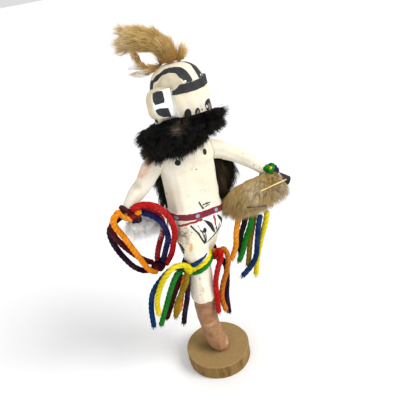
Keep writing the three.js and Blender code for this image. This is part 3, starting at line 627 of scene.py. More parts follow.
def makeDisc():
    low, high = (np.array(c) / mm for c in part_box("base_disc"))
    radius, thick = (high[0] - low[0]) / 2, high[2]
    turns = np.arange(disc["around"]) * 2 * math.pi / disc["around"]
    waves = 1 + 0.6 * np.sin(2 * turns + 1) + 0.4 * np.sin(5 * turns) + 0.2 * np.sin(11 * turns + 2)
    outline = radius - disc["uneven"] * waves
    edge = disc["edge"]
    inner = 1 - edge / radius
    profile = [(share * inner, thick) for share in np.linspace(0.02, 1, disc["rings"])]
    bends = np.linspace(0.25, math.pi / 2, 5)
    profile += [(1 - edge / radius * (1 - math.sin(a)), thick - edge * (1 - math.cos(a))) for a in bends]
    profile += [(1, z) for z in np.linspace(thick - edge, edge, disc["rows"])[1:]]
    profile += [(1 - edge / radius * (1 - math.cos(a)), edge * (1 - math.sin(a))) for a in bends]
    profile += [(share * inner, 0) for share in np.linspace(0.98, 0.02, 10)]
    rings = [np.stack([outline * share * np.cos(turns), outline * share * np.sin(turns),
                       np.full(len(turns), float(level))], axis=1) for share, level in profile]
    points = np.concatenate([*rings, [[0, 0, thick], [0, 0, 0]]])
    onTop = points[:, 2] > thick - 0.05
    saw = np.sin(points[onTop, 0] * 3.1 + points[onTop, 1] * 0.7)
    points[onTop, 2] += disc["sawDepth"] * (0.5 * saw - 1)
    onSide = (points[:, 2] < thick - edge) & (points[:, 2] > edge)
    fibre = np.sin(np.arctan2(points[:, 1], points[:, 0]) * 43) * 0.1 + wobble(points, 9, 5) * 0.15
    points[onSide, :2] *= (1 + (fibre[onSide] - 0.15) / radius)[:, None]
    flat = points[:, :2] - np.array(disc["heart"])
    numbers = {"ringSpot": np.hypot(flat[:, 0], flat[:, 1] * 1.12),
               "side": np.where(points[:, 2] > thick - 0.6, 0.0, 1.0),
               # painted shadow: where the foot's cast shadow lies on the disc's top, left of the foot
               "footShadow": stroke(points[:, :2], disc["footShadow"], disc["footShadowWide"])}
    faces = ringFaces(len(profile), disc["around"], flipped=True)
    made = meshPiece("sawn_disc", points, faces, [discFinish()], numbers)
    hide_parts("base_disc")


def discFinish():
    finish = Finish("sawn_wood")
    side = finish.number("side")
    drift = finish.noise(60, 4)
    rings = finish.node("ShaderNodeMath", {"operation": "SINE"},
                        {0: (finish.number("ringSpot") + drift * 3.4) * 2.6})
    grain = finish.noise(420, 5, 0.6)
    fibre = finish.noise(260, 4, 0.6, (1, 1, 0.12))
    top = finish.mix(rings.between(-0.6, 1) * 0.28, (0.3, 0.195, 0.072), (0.21, 0.125, 0.042))
    top = finish.mix(grain.between(0.4, 0.75) * 0.4, top, (0.39, 0.27, 0.118))
    top = finish.mix(finish.noise(22, 3).between(0.45, 0.7) * 0.35, top, (0.3, 0.19, 0.07))
    # painted shadow: the disc's top darkened where the foot's shadow falls
    top = finish.mix(finish.number("footShadow").inside(5) * 0.65, top, (0.13, 0.075, 0.02))
    rim = finish.mix(fibre.between(0.35, 0.7), (0.23, 0.133, 0.036), (0.12, 0.064, 0.016))
    rim = finish.mix(finish.noise(35, 4).between(0.5, 0.72) * 0.6, rim, (0.32, 0.21, 0.082))
    specks = finish.noise(520, 2, 0.5, (1, 1, 0.6))
    rim = finish.mix(specks.between(0.7, 0.74) * 0.8, rim, (0.06, 0.035, 0.015))
    colour = finish.mix(side.between(0.3, 0.7), top, rim)
    return finish.done(colour, 0.82, grain * 0.5 + fibre * side * 0.8 + rings * 0.12, 0.35, specular=0.25)


makeDisc()
print("disc sawn")


# Painted wood: a ground colour that the finish wears, dents and specks, and layers of paint over it
def paintedWood(name, ground, layers, extra=None):
    finish = Finish(name)
    ragged = finish.noise(420, 4, 0.6) - 0.5
    fine = finish.noise(1500, 3, 0.6)
    broad = finish.noise(38, 5, 0.6)
    mid = finish.noise(150, 5, 0.6)
    colour = finish.mix(broad.between(0.35, 0.75), ground[0], ground[1])
    colour = finish.mix(mid.between(0.52, 0.78) * 0.5, colour, ground[2])
    specks = finish.noise(310, 2, 0.5)
    colour = finish.mix(specks.between(0.705, 0.73) * 0.8, colour, (0.1, 0.075, 0.05))
    if extra:
        colour = extra(finish, colour)
    height = mid * 0.5 + fine * 0.12 + broad * 0.4
    for key, tints, soft, rough in layers:
        edge = finish.number(key) + ragged * rough
        mask = edge.inside(soft)
        worn = finish.mix(mid.between(0.3, 0.7), tints[0], tints[1])
        colour = finish.mix(mask * (1 - fine.between(0.72, 0.85) * 0.5), colour, worn)
        height = height + mask * 0.35
    gloss = 0.62 + mid * 0.12
    return finish.done(colour, gloss, height, 0.3, specular=0.25)


cream = ((0.76, 0.7, 0.55), (0.82, 0.785, 0.675), (0.6, 0.5, 0.33))
charcoalTint = ((0.019, 0.02, 0.023), (0.034, 0.034, 0.038))
inkTint = ((0.009, 0.009, 0.01), (0.024, 0.022, 0.02))


# The case mask, turned as rings with a raised face and brow
mask = {"middle": (6.9, -3.2), "facing": -73, "bottom": 214, "radius": 21.6, "taper": 1.6,
        "domeStart": 243.5, "domeRise": 19.8, "domePower": 2.4, "faceHalf": 59, "faceRaise": 0.9,
        "browTop": 251.8, "browHeight": 5.4, "browRaise": 0.5, "around": 236, "sideRows": 64,
        "domeRows": 62, "knifeCuts": 17, "knife": 0.16}


def maskProfile():
    side = [(mask["radius"] - mask["taper"] * t, mask["bottom"] + (mask["domeStart"] - mask["bottom"]) * t)
            for t in np.linspace(0, 1, mask["sideRows"], endpoint=False)]
    power = mask["domePower"]
    dome = []
    for turn in np.linspace(0, math.pi / 2, mask["domeRows"]):
        share = math.sin(turn)
        radius = (mask["radius"] - mask["taper"]) * max(0, 1 - share ** power) ** (1 / power)
        dome.append((max(radius, 0.02), mask["domeStart"] + mask["domeRise"] * share))
    return np.array(side + dome)


def makeMask():
    profile = maskProfile()
    turns = np.arange(mask["around"]) * 360 / mask["around"] - 180  # from the face's middle
    bearing = np.radians(turns + mask["facing"])
    radius, level = profile[:, 0][:, None], profile[:, 1][:, None]
    lean = (level - mask["bottom"]) / (mask["domeStart"] - mask["bottom"])
    straight = mask["radius"] - mask["taper"] * lean
    browLow = mask["browTop"] - mask["browHeight"]
    onFace = (rise(mask["faceHalf"] - np.abs(turns)[None, :], -0.5, 1.3)
              * rise(mask["browTop"] - level, -0.1, 0.3))
    onBrow = onFace * rise(level - browLow, -0.3, 0.3)
    raised = straight + mask["faceRaise"] * (1 - 0.06 * (level - 240) / 4) + mask["browRaise"] * onBrow
    full = radius + (np.maximum(raised, radius) - radius) * onFace
    knife = mask["knife"] * np.sin(np.radians(turns)[None, :] * mask["knifeCuts"] + level * 0.25)
    knife = knife * rise(level, mask["bottom"], mask["bottom"] + 11)
    full = np.maximum(full + knife * rise(full, 3, 8), 0.02)
    x = mask["middle"][0] + full * np.cos(bearing)[None, :]
    y = mask["middle"][1] + full * np.sin(bearing)[None, :]
    points = np.stack([x, y, baseTop + np.broadcast_to(level, x.shape)], axis=2).reshape(-1, 3)
    points = np.concatenate([points, [[*mask["middle"], baseTop + mask["bottom"]],
                                      [*mask["middle"], baseTop + mask["domeStart"] + mask["domeRise"]]]])
    faces = ringFaces(len(profile), mask["around"])
    made = meshPiece("painted_mask", points, faces, [maskFinish()], maskPaint(points))
    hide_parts("mask_head")


def headPlaces(points):  # degrees from the face's middle, height, reach ahead and to the left
    flat = points[:, :2] - np.array(mask["middle"])
    turn = np.degrees(np.arctan2(flat[:, 1], flat[:, 0])) - mask["facing"]
    turn = (turn + 180) % 360 - 180
    face = math.radians(mask["facing"])
    ahead = flat @ np.array([math.cos(face), math.sin(face)])
    left = flat @ np.array([-math.sin(face), math.cos(face)])
    return turn, points[:, 2] - baseTop, ahead, left


def softened(corners):  # a rounder outline through the same corners
    return [tuple(spot[:2]) for spot in curveThrough([(*corner, 0) for corner in corners], 0.9, closed=True)]


def hoodEdge(hand, front):  # an arch over the dome, alike on both sides but for its front
    inner = [(17.1, -15.4), (14, -12.6), (15.1, -8.1), (13.3, -2.1)]
    outer = [(12.4, 5.9), (14.8, 1.4), (17.3, -2.6), (17.4, -6), (21.8, -7.4)]
    return softened([(hand * x, y) for x, y in inner] + front + [(hand * x, y) for x, y in outer])


def onWall(spots):  # degrees from the face's middle and heights, as millimetres on the wall
    return [(math.radians(turned) * mask["radius"], height) for turned, height in spots]


def maskPaint(points):
    turn, level, ahead, left = headPlaces(points)
    arc = np.radians(turn) * mask["radius"]  # millimetres round the mask
    wall = np.stack([arc, level], axis=1)
    plan = np.stack([left, ahead], axis=1)
    perDegree = math.radians(1) * mask["radius"]
    bandEnd = -59 - (252 - level) * 0.5
    fall = 1.4 * (1 - rise(turn, -60, -42))
    band = np.maximum(np.maximum(bandEnd * perDegree - arc, arc - 59 * perDegree),
                      np.abs(level - 249.2 + fall) - 2.9 + fall)
    hood = np.minimum(
        patch(plan, hoodEdge(-1, [(-10, 0.8), (-7.3, 5), (-4.9, 8.9), (-4.3, 11.7), (-4.2, 15.1), (-5.3, 20),
                                  (-10.2, 20), (-10.2, 14.8), (-11.2, 12.6), (-10.9, 9.7)])),
        patch(plan, hoodEdge(1, [(8.5, 1.2), (5.2, 4), (4.3, 6.1), (4.4, 10.1), (2.5, 14.8), (1.6, 17.5),
                                 (1.5, 20), (9.8, 20), (9.5, 14.8), (9.8, 9.7)])))
    arches = np.maximum(hood, np.where(ahead > 0, 252.2 - level, 226 - level))
    eyes = [oval(wall, (-39.6 * perDegree, 231.9), 2.7, 3.9, -14),
            oval(wall, (-20.4 * perDegree, 231.4), 2.2, 3.2, -10)]
    square = patch(wall, onWall([(-0.9, 234.7), (0.6, 231), (6, 228), (12, 227.4), (24, 228.2), (26.4, 232),
                                 (24, 236.4), (14, 237), (5, 236.6)]))
    grey = [oval(wall, (-19.9 * perDegree, 230.8), 1.1, 2.2, -10),
            oval(wall, (15 * perDegree, 231.6), 2.1, 2.2)]
    chips = [oval(wall, (5.4 * perDegree, 232.6), 0.9, 1.2), oval(wall, (-19.6 * perDegree, 228.8), 1.3, 1),
             oval(wall, (-30.6 * perDegree, 253.2), 1, 0.7), oval(wall, (19 * perDegree, 253.4), 0.8, 0.6)]
    bar = patch(wall, onWall([(-79, 250), (-61.8, 250), (-60.4, 244), (-57.6, 238), (-55.2, 232),
                              (-54.6, 230.2), (-67.6, 230.2), (-70, 234)]))
    block = patch(wall, onWall([(-93.4, 225.3), (-73.8, 227), (-69.5, 231.1), (-52.4, 230.5), (-50.2, 227.6),
                                (-50, 218), (-95, 218)]))
    sidePatch = patch(np.stack([np.abs(left), ahead], axis=1),
                      [(21, -8), (18.6, -5), (17.6, -1), (15.2, 1.6), (12.4, 6.2), (11, 10), (10.7, 20),
                       (24, 20)])
    return {"brow": band, "arches": arches, "eyes": np.minimum.reduce([*eyes, square]),
            "grey": np.minimum(*grey), "chips": np.minimum.reduce(chips), "bar": bar, "block": block,
            "sidePatch": np.maximum(sidePatch, 250 - level),
            "pink": oval(wall, (15 * perDegree, 228.6), 3, 0.8), "turnFromFace": turn}


def maskFinish():
    def faceSideShade(finish, colour):
        # painted shade: the mask's side on the figure's right, turned away from the face, darkened towards
        # beige
        turn = finish.number("turnFromFace")
        return finish.mix((1 - turn.between(-58, 0)) * 0.4, colour, (0.72, 0.6, 0.4))

    beige = ((0.5, 0.43, 0.31), (0.6, 0.53, 0.4))
    white = ((0.86, 0.86, 0.84), (0.9, 0.9, 0.9))
    return paintedWood("mask_paint", cream, [
        ("sidePatch", beige, 0.3, 0.8), ("bar", white, 0.15, 0.6),
        ("block", ((0.13, 0.13, 0.12), (0.2, 0.19, 0.17)), 0.2, 1),
        ("arches", charcoalTint, 0.12, 0.7), ("brow", charcoalTint, 0.12, 0.8), ("eyes", inkTint, 0.15, 0.5),
        ("grey", ((0.16, 0.155, 0.15), (0.25, 0.24, 0.23)), 0.3, 0.6),
        ("pink", ((0.5, 0.2, 0.15), (0.6, 0.3, 0.24)), 0.5, 1.4),
        ("chips", white, 0.15, 0.5)], faceSideShade)


makeMask()


# Ear tabs: charcoal squares, white bars and a bare beige rim
tab = {"voxel": 0.42, "paintLevel": 229}


def makeTab(node, name, hand):
    points, quads = carvedCopy(node, tab["voxel"], 3)
    _, level, _, left = headPlaces(points)
    flat = np.stack([hand * left, level - tab["paintLevel"]], axis=1)
    squares = [patch(flat, [(-30.3, 19.8), (-29.2, 22.1), (-26.6, 22.7), (-23.4, 22), (-23, 15.6),
                            (-23.6, 14.1), (-29.3, 13.9), (-30.6, 16.6)]),
               patch(flat, [(-30.2, 10.8), (-27.3, 11.2), (-21.9, 9.9), (-20.9, 3.4), (-25.5, 4.5),
                            (-28.3, 6.4), (-29.9, 9.3)])]
    out = outward(points, quads)
    face = math.radians(mask["facing"])
    facing = out @ np.array([math.cos(face), math.sin(face), 0])
    edge = np.maximum(patch(flat, [(-26.3, 23), (-29.3, 21.8), (-30.8, 17.9), (-31, 13.4), (-30.6, 9.5),
                                   (-28.3, 6), (-25.5, 4.1), (-23.8, 3), (-10, 2), (-10, 26), (-26, 26)]),
                      (0.5 - facing) * 4)
    both = np.maximum(np.minimum(*squares), edge)
    made = meshPiece(name, points, [quads], [tabFinish()],
                     {"squares": both, "white": edge})
    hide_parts(node)


def tabFinish():
    return paintedWood("tab_paint", ((0.55, 0.48, 0.34), (0.66, 0.58, 0.43), (0.45, 0.37, 0.24)), [
        ("white", ((0.86, 0.86, 0.85), (0.9, 0.9, 0.9)), 0.2, 0.6), ("squares", charcoalTint, 0.15, 0.6)])


makeTab("right_ear_tab", "painted_right_tab", 1)
makeTab("left_ear_tab", "painted_left_tab", -1)
print("mask painted")


# Carved body: belt, flap and cuff stand out a little, and the paint is worn
carving = {"voxel": 0.82, "rounds": 60, "beltMiddle": 149.8, "beltFall": 0.135, "beltDip": 0.011,
           "beltHalf": 2.75, "beltRaise": 0.35, "chestLine": 192.4, "chestRaise": 0.3, "cuff": 61.2,
           "cuffRaise": 0.55, "flapRaise": 0.45, "knife": 0.16}
trunkMiddle = (3.8, -0.5)


def bodyPlaces(points):
    level = points[:, 2] - baseTop
    front = np.stack([points[:, 0], level], axis=1)
    belt = level - (carving["beltMiddle"] - carving["beltFall"] * points[:, 0]
                    - carving["beltDip"] * np.maximum(points[:, 0] - 8, 0) ** 2)
    return level, front, belt


flapOutline = [(-10.2, 147), (-9.6, 142.6), (-7.8, 138.8), (-6.2, 134.4), (-3.4, 127.6), (0.6, 120.8),
               (5.2, 123.2), (10.4, 125.6), (17.2, 127.6), (22.5, 131), (24, 147)]


def makeBody():
    points, quads = carvedCopy("body", carving["voxel"], carving["rounds"])
    out = outward(points, quads)
    level, front, belt = bodyPlaces(points)
    isFront = points[:, 1] < 0
    onTrunk = rise(level, 116, 122)
    flap = np.where(isFront, patch(front, flapOutline), 9)
    flap = np.maximum(flap, belt + carving["beltHalf"])
    lift = carving["beltRaise"] * rise(carving["beltHalf"] - np.abs(belt), -0.3, 0.3)
    lift += carving["flapRaise"] * rise(-flap, -0.35, 0.35) * onTrunk
    chestLevel = carving["chestLine"] - 0.002 * (points[:, 0] - 3.9) ** 2
    lift += carving["chestRaise"] * rise(level - chestLevel, -0.4, 0.4) * rise(206 - level, 0, 3)
    cuffEdge = carving["cuff"] + 0.05 * (points[:, 0] + 5) + 0.8 * wobble(points, 7, 3)
    onShin = np.where(points[:, 1] < 14, 1.0, 0.0)
    cuffLift = rise(level - cuffEdge, -0.3, 0.5) * rise(cuffEdge + 10 - level, 0, 9)
    lift += carving["cuffRaise"] * cuffLift * onShin
    lift += carving["knife"] * wobble(points, 11, 8) + 0.06 * wobble(points, 3.2, 9)
    points += out * lift[:, None]
    points[:, 2] = np.maximum(points[:, 2], baseTop + 0.1)
    made = meshPiece("painted_body", points, [quads], [bodyFinish()],
                     bodyPaint(points, belt, flap, cuffEdge, isFront))
    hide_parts("body")


def bodyPaint(points, belt, flap, cuffEdge, isFront):
    level, front, _ = bodyPlaces(points)
    behind = np.where(isFront, 0, 40)
    turn = np.degrees(np.arctan2(points[:, 1] - trunkMiddle[1], points[:, 0] - trunkMiddle[0]))
    ragged = stroke(front, [(-16.2, 144.3), (-12.7, 145.2), (-9.2, 145.9), (-4.3, 146.5), (-2, 145.9)], 1)
    dots = np.full(len(points), 9.0)
    for bearing in (-165, -118, -56, -8, 40, 92, 146):
        gap = ((turn - bearing + 180) % 360 - 180) * math.radians(1) * 17
        dots = np.minimum(dots, np.hypot(gap, belt * 1.05) - 1.7)
    ink = [stroke(front, [(-0.3, 160.4), (0.8, 156.6), (2, 153.9)], 0.65),
           oval(front, (3, 156.9), 1.1, 0.85), stroke(front, [(3.2, 157), (6, 156.8), (9.4, 156.2)], 0.6),
           stroke(front, [(3.4, 154.6), (6, 154.8), (8.4, 154.6)], 0.45),
           oval(front, (-10.4, 196.8), 2.2, 2), oval(front, (13.2, 197.2), 2, 2.3),
           stroke(front, [(-10.4, 143), (-8.3, 138.7), (-5.6, 134.2), (-3.5, 128.2), (-0.3, 121)], 0.6),
           stroke(front, [(-4.4, 137.5), (-2.4, 133.9), (-1.6, 129.8), (0.2, 122.3)], 0.55),
           stroke(front, [(-5.9, 142.5), (-4.3, 138.4)], 0.35), oval(front, (-0.4, 135.4), 1.6, 2.7, 12),
           stroke(front, [(-0.4, 135), (0.4, 128), (0.6, 122)], 0.5),
           stroke(front, [(-0.3, 121), (1.4, 121.2), (4.1, 123.8), (8.2, 125.6), (13.2, 127.9),
                          (17.5, 129.8), (22, 133)], 0.75),
           patch(front, [(-1.6, 146.4), (1.2, 144.2), (4.2, 142), (7, 138.6), (9, 132.8), (10.4, 126.4),
                         (8.2, 128.6), (6, 132.2), (3.6, 137.4), (1.4, 141.8)]),
           oval(front, (11.3, 131.3), 0.8, 2.4),
           stroke(front, [(15.1, 133.4), (13.9, 130.2), (11.8, 127.6)], 0.65),
           patch(front, [(12.6, 144.4), (15.8, 141.6), (18.9, 137.4), (20.4, 132.4), (18, 132.2),
                         (16.8, 135.8), (14.4, 139.8)])]
    numbers = {
        "onBelt": np.where(np.abs(belt) < 12, np.abs(belt) - carving["beltHalf"], 9),
        "ragged": ragged + behind, "dots": dots, "ink": np.minimum.reduce(ink) + behind,
        "flap": flap, "streak": stroke(front, [(9.9, 144), (10.6, 140), (10.4, 135)], 0.85) + behind,
        "boot": np.where(points[:, 1] < 14, level - cuffEdge, level - 84),
        "lip": np.where(points[:, 1] < 14, np.abs(level - cuffEdge - 0.5) - 0.4, 9),
        # the right thigh's outer side: a brown wash painted as shade, with dark dirt specks in it
        "dirtAndShade": oval(front, (-16, 134.5), 6, 9, 10) + np.where(points[:, 1] < 8, 0, 40),
        "thigh": np.minimum(oval(front, (-12.4, 122.6), 1, 4.6, -8),
                            stroke(front, [(-8.6, 79), (-8, 72.5)], 0.4)) + behind,
        "thighPale": oval(front, (-8.6, 126), 4.2, 9, 12) + behind,
        "bootPatch": oval(front, (-5.8, 31.6), 4.4, 2, 8) + behind,
        "toePale": oval(front, (4.2, 7.4), 3, 1.6, 30) + behind,
        # painted shadow: a dark line along the outer edge of the right thigh
        "thighEdgeShadow": stroke(front, [(-19.4, 128.4), (-17, 124.4), (-16, 119.6), (-15.6, 113)], 0.45)
                + np.where(points[:, 1] < 9, 0, 40)}
    return numbers


def bodyFinish():
    def grimeAndShade(finish, colour):
        dirtAndShade = finish.number("dirtAndShade")
        # painted shade: a brown wash over the right thigh's outer side
        colour = finish.mix((dirtAndShade + (finish.noise(160, 5, 0.7) - 0.5) * 22).inside(4) * 0.5, colour,
                            (0.45, 0.33, 0.2))
        # dirt: dark specks in the same place
        colour = finish.mix((dirtAndShade + 4 + (finish.noise(420, 5, 0.75) - 0.5) * 46).inside(2) * 0.8, colour,
                            (0.1, 0.06, 0.035))
        streaks = finish.noise(70, 4, 0.6, (1, 1, 0.25))
        colour = finish.mix(streaks.between(0.5, 0.75) * 0.4, colour, (0.62, 0.52, 0.38))
        return colour

    bootTint = ((0.24, 0.112, 0.05), (0.35, 0.187, 0.095))
    return paintedWood("body_paint", cream, [
        ("thighPale", ((0.86, 0.74, 0.5), (0.88, 0.8, 0.62)), 0.8, 1.6),
        ("boot", bootTint, 0.2, 1.6), ("bootPatch", ((0.56, 0.3, 0.12), (0.48, 0.28, 0.14)), 2.2, 2),
        ("lip", ((0.88, 0.8, 0.6), (0.7, 0.58, 0.36)), 0.3, 1),
        ("toePale", ((0.46, 0.29, 0.17), (0.42, 0.25, 0.14)), 1, 2),
        ("flap", ((0.78, 0.76, 0.68), (0.83, 0.81, 0.75)), 0.2, 0.4),
        ("thigh", ((0.78, 0.45, 0.13), (0.7, 0.4, 0.14)), 0.35, 0.8),
        ("onBelt", ((0.21, 0.013, 0.03), (0.155, 0.009, 0.024)), 0.2, 1.2),
        ("ragged", ((0.24, 0.015, 0.02), (0.3, 0.03, 0.03)), 0.2, 2),
        ("streak", ((0.42, 0.03, 0.03), (0.3, 0.02, 0.02)), 0.2, 0.9), ("ink", inkTint, 0.16, 0.7),
        # painted shadow: the dark line along the right thigh's outer edge
        ("thighEdgeShadow", ((0.02, 0.015, 0.01), (0.06, 0.04, 0.02)), 0.2, 0.8),
        ("dots", ((0.22, 0.27, 0.4), (0.3, 0.36, 0.5)), 0.25, 0.6)], grimeAndShade)


makeBody()
print("body carved")


# Arms
arm = {"voxel": 0.72, "rounds": 30, "knife": 0.13, "grain": 0.05, "rightFist": 55.4, "leftFist": 70.5}


def makeArm(node, name, marks, fist):
    points, quads = carvedCopy(node, arm["voxel"], arm["rounds"])
    out = outward(points, quads)
    points += out * (arm["knife"] * wobble(points, 9, 4) + arm["grain"] * wobble(points, 3, 6))[:, None]
    level = points[:, 2] - baseTop
    front = np.stack([points[:, 0], level], axis=1)
    numbers = {key: shape(front) for key, shape in marks.items()}
    numbers["fist"] = fist(points)
    made = meshPiece(name, points, [quads], [armFinish(name + "_paint", "rub" in marks)],
                     numbers)
    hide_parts(node)


def armFinish(name, rubbed):
    layers = [("fist", inkTint, 0.25, 0.8)]
    if rubbed:
        layers = [("brown", ((0.66, 0.57, 0.43), (0.58, 0.49, 0.36)), 2.2, 5),
                  ("rub", ((0.76, 0.38, 0.27), (0.8, 0.6, 0.46)), 1.5, 6.5),
                  *layers]
    return paintedWood(name, ((0.73, 0.68, 0.55), (0.8, 0.76, 0.65), (0.6, 0.52, 0.38)), layers)


rubs = {
    "rub": lambda front: stroke(front, [(-25, 202), (-28.4, 199.2), (-31.6, 195.8), (-35.4, 192.6)], 0.9),
    "brown": lambda front: oval(front, (-40.6, 187.8), 2.2, 2),
}
makeArm("right_arm", "painted_right_arm", rubs, lambda points: points[:, 0] + arm["rightFist"])
makeArm("left_arm", "painted_left_arm", {}, lambda points: arm["leftFist"] - points[:, 0])
print("arms painted")


# Two thin sticks held in the fur
sticks = {
    "pale_stick": {"name": "pale_twig", "tints": ((0.8, 0.66, 0.3), (0.62, 0.45, 0.16)), "radius": 0.5,
                   "ends": [(43, -36.4, 158), (65, -43, 161)]},
    "black_stick": {"name": "black_twig", "tints": ((0.02, 0.02, 0.02), (0.05, 0.045, 0.04)), "radius": 0.55,
                    "ends": [(32.5, -30.6, 146), (47, -37, 143)]},
}


def makeStick(node, facts):
    line = curveThrough([rowPoint(s) for s in facts["ends"]], 0.8)
    ways = unit(np.gradient(line, axis=0))
    side = unit(np.cross(ways, [0, 0, 1.0]))
    other = np.cross(ways, side)
    sides = 12
    turn = np.arange(sides) * 2 * math.pi / sides
    steps = np.arange(len(line))
    thick = facts["radius"] * (1 + 0.1 * np.sin(steps * 1.3) + 0.06 * np.sin(steps * 3.1))
    rays = np.cos(turn)[None, :, None] * side[:, None] + np.sin(turn)[None, :, None] * other[:, None]
    rings = line[:, None] + thick[:, None, None] * rays
    points = np.concatenate([rings.reshape(-1, 3), line[:1], line[-1:]])
    finish = stickFinish(facts["name"], facts["tints"])
    made = meshPiece(facts["name"], points, ringFaces(len(line), sides), [finish])
    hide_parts(node)


def stickFinish(name, tints):
    finish = Finish(name)
    grain = finish.noise(500, 4, 0.6, (0.2, 1, 1))
    return finish.done(finish.mix(grain.between(0.35, 0.7), *tints), 0.6, grain, 0.15)


for node, facts in sticks.items():
    makeStick(node, facts)


# Fur: a coat of its own shape with hairs rooted all over it, combed and gathered into locks
def rootsOn(points, quads, count, rng):
    a, b, c, d = (points[quads[:, k]] for k in range(4))
    area = np.linalg.norm(np.cross(c - a, d - b), axis=1)
    chosen = rng.choice(len(quads), count, p=area / area.sum())
    u, v = rng.uniform(size=(2, count, 1))
    spots = (a[chosen] * (1 - u) + b[chosen] * u) * (1 - v) + (d[chosen] * (1 - u) + c[chosen] * u) * v
    return spots, unit(np.cross(c[chosen] - a[chosen], d[chosen] - b[chosen]))


def asIs(points):
    return points


def fullLength(points):
    return np.ones(len(points))


def curlHairs(lines, facts, rng):  # thin locks that pass through given spots
    ends = [[], [], []]
    for line in lines:
        first, middle, last = (rowPoint(spot) for spot in line)
        for spots, spot, loose in zip(ends, (first, 2 * middle - (first + last) / 2, last), (0.8, 1.1, 1.7)):
            spots.append(spot + rng.normal(size=(facts["curlHairs"], 3)) * loose * facts["curlSpread"])
    return [np.concatenate(spots) for spots in ends]


def makeFur(name, node, facts, comb, tones, shape=asIs, short=fullLength, curls=()):
    rng = np.random.default_rng(facts["seed"])
    coat, quads = carvedCopy(node, facts["voxel"], facts["rounds"])
    coat = shape(coat)
    out = outward(coat, quads)
    depth = facts["sink"] + 0.5 * wobble(coat, 6, facts["seed"]) + 1.6 * (1 - short(coat))
    coat = coat - out * depth[:, None]
    roots, lift = rootsOn(coat, quads, facts["count"], rng)
    ways = unit(comb(roots, lift))
    stray = facts["stray"] * rng.normal(size=roots.shape)
    start = unit(ways * (1 - facts["lift"]) + lift * facts["lift"] + stray)
    stray = facts["stray"] * 0.8 * rng.normal(size=roots.shape)
    ends = unit(ways + lift * facts["lift"] * 0.35 + stray)
    length = facts["length"][0] + (facts["length"][1] - facts["length"][0]) * rng.beta(2, 2, len(roots))
    length = length * (1 + 0.35 * wobble(roots, facts["lock"] * 1.6, facts["seed"] + 1)) * short(roots)
    bends = roots + start * length[:, None] * 0.5
    tips = bends + ends * length[:, None] * 0.55
    leaders = rng.choice(len(roots), facts["locks"], replace=False)
    nearest = np.concatenate([np.linalg.norm(block[:, None] - roots[leaders][None], axis=2).argmin(1)
                              for block in np.array_split(roots, 40)])
    leader = leaders[nearest]
    pull = (facts["gather"] * rng.uniform(0.35, 1, len(roots)))[:, None]
    offset = tips[leader] + (roots - roots[leader]) * 0.25 - tips
    tips = tips + offset * pull
    bends = bends + offset * pull * 0.45
    strand = rng.uniform(size=len(roots)) * 0.6 + 0.4 * rng.uniform(size=len(roots))[leader]
    if curls:
        more = curlHairs(curls, facts, rng)
        roots, bends, tips = (np.concatenate(pair) for pair in zip((roots, bends, tips), more))
        strand = np.concatenate([strand, rng.uniform(0, 0.45, len(more[0]))])
    widths = facts["width"] * rng.uniform(0.6, 1.3, len(roots))
    points, faces, along = hairMesh(roots, bends, tips, widths, facts["segments"])
    each = facts["segments"] * 3 + 1
    shade = np.repeat(strand, each)
    numbers = {"along": np.concatenate([np.zeros(len(coat)), along]),
               "strand": np.concatenate([np.full(len(coat), 0.2), shade])}
    for key, distance in tones.items():
        numbers[key] = np.concatenate([distance(coat), np.repeat(distance(roots), each)])
    allFaces = [quads, *[block + len(coat) for block in faces]]
    made = meshPiece(name, np.concatenate([coat, points]), allFaces, [furFinish(name, facts, tones)],
                     numbers)
    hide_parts(node)


def furFinish(name, facts, tones):
    finish = Finish(name)
    along, strand = finish.number("along"), finish.number("strand")
    root, low, high, tip = facts["colours"]
    colour = finish.mix(strand.between(0.15, 0.85), low, high)
    for key in tones:
        colour = finish.mix(finish.number(key).inside(facts["blur"]) * (0.45 + strand * 0.5), colour,
                            facts["tones"][key])
    colour = finish.mix(along.between(0.5, 1) * 0.6 * strand, colour, tip)
    # painted shade: the coat under the hairs and the lower part of each hair darkened towards the root
    # colour
    colour = finish.mix((1 - along.between(0, 0.55)) * 0.75, colour, root)
    return finish.done(colour, 0.55, finish.noise(600, 3), 0.1, sheen=facts["sheen"],
                       specular=facts["gloss"])


def nearOn(spots, line):  # the way of the line beside each spot
    line = np.array(line, float) + np.array([0, 0, baseTop])
    best, ways = np.full(len(spots), 1e9), np.zeros_like(spots)
    for a, b in zip(line[:-1], line[1:]):
        run = b - a
        share = np.clip(((spots - a) @ run) / (run @ run), 0, 1)[:, None]
        gap = np.linalg.norm(spots - a - share * run, axis=1)
        closer = gap < best
        best = np.where(closer, gap, best)
        ways[closer] = run / np.linalg.norm(run)
    return best, ways


def ball(middle, radius):
    spot = rowPoint(middle)
    return lambda points: np.linalg.norm(points - spot, axis=1) - radius


collarFur = {"seed": 3, "voxel": 1.1, "rounds": 10, "sink": 3.6, "count": 13200, "segments": 2,
             "length": (4, 10), "width": 0.36, "lift": 0.42, "stray": 0.26, "lock": 8, "locks": 230,
             "gather": 0.8, "gloss": 0.15, "sheen": 0, "blur": 3,
             "colours": ((0.0015, 0.0015, 0.0015), (0.003, 0.003, 0.0034), (0.011, 0.0095, 0.008),
                         (0.028, 0.023, 0.018)),
             "tones": {"tanPatch": (0.36, 0.29, 0.19), "brownSide": (0.07, 0.045, 0.02)}}


def collarComb(roots, lift):
    middle = rowPoint((3.6, -2, 215))
    radial = roots - middle
    radial[:, 2] = 0
    radial = unit(radial)
    around = np.stack([-radial[:, 1], radial[:, 0], np.zeros(len(roots))], axis=1)
    swirl = wobble(roots, 26, 21)[:, None]
    above = rise(roots[:, 2] - baseTop, 216, 226)[:, None]
    sideways = around * (0.35 * swirl - 0.3)
    return radial * (0.75 - 0.35 * above) + sideways + np.array([0, 0, -1.0]) * (0.85 - 0.9 * above)


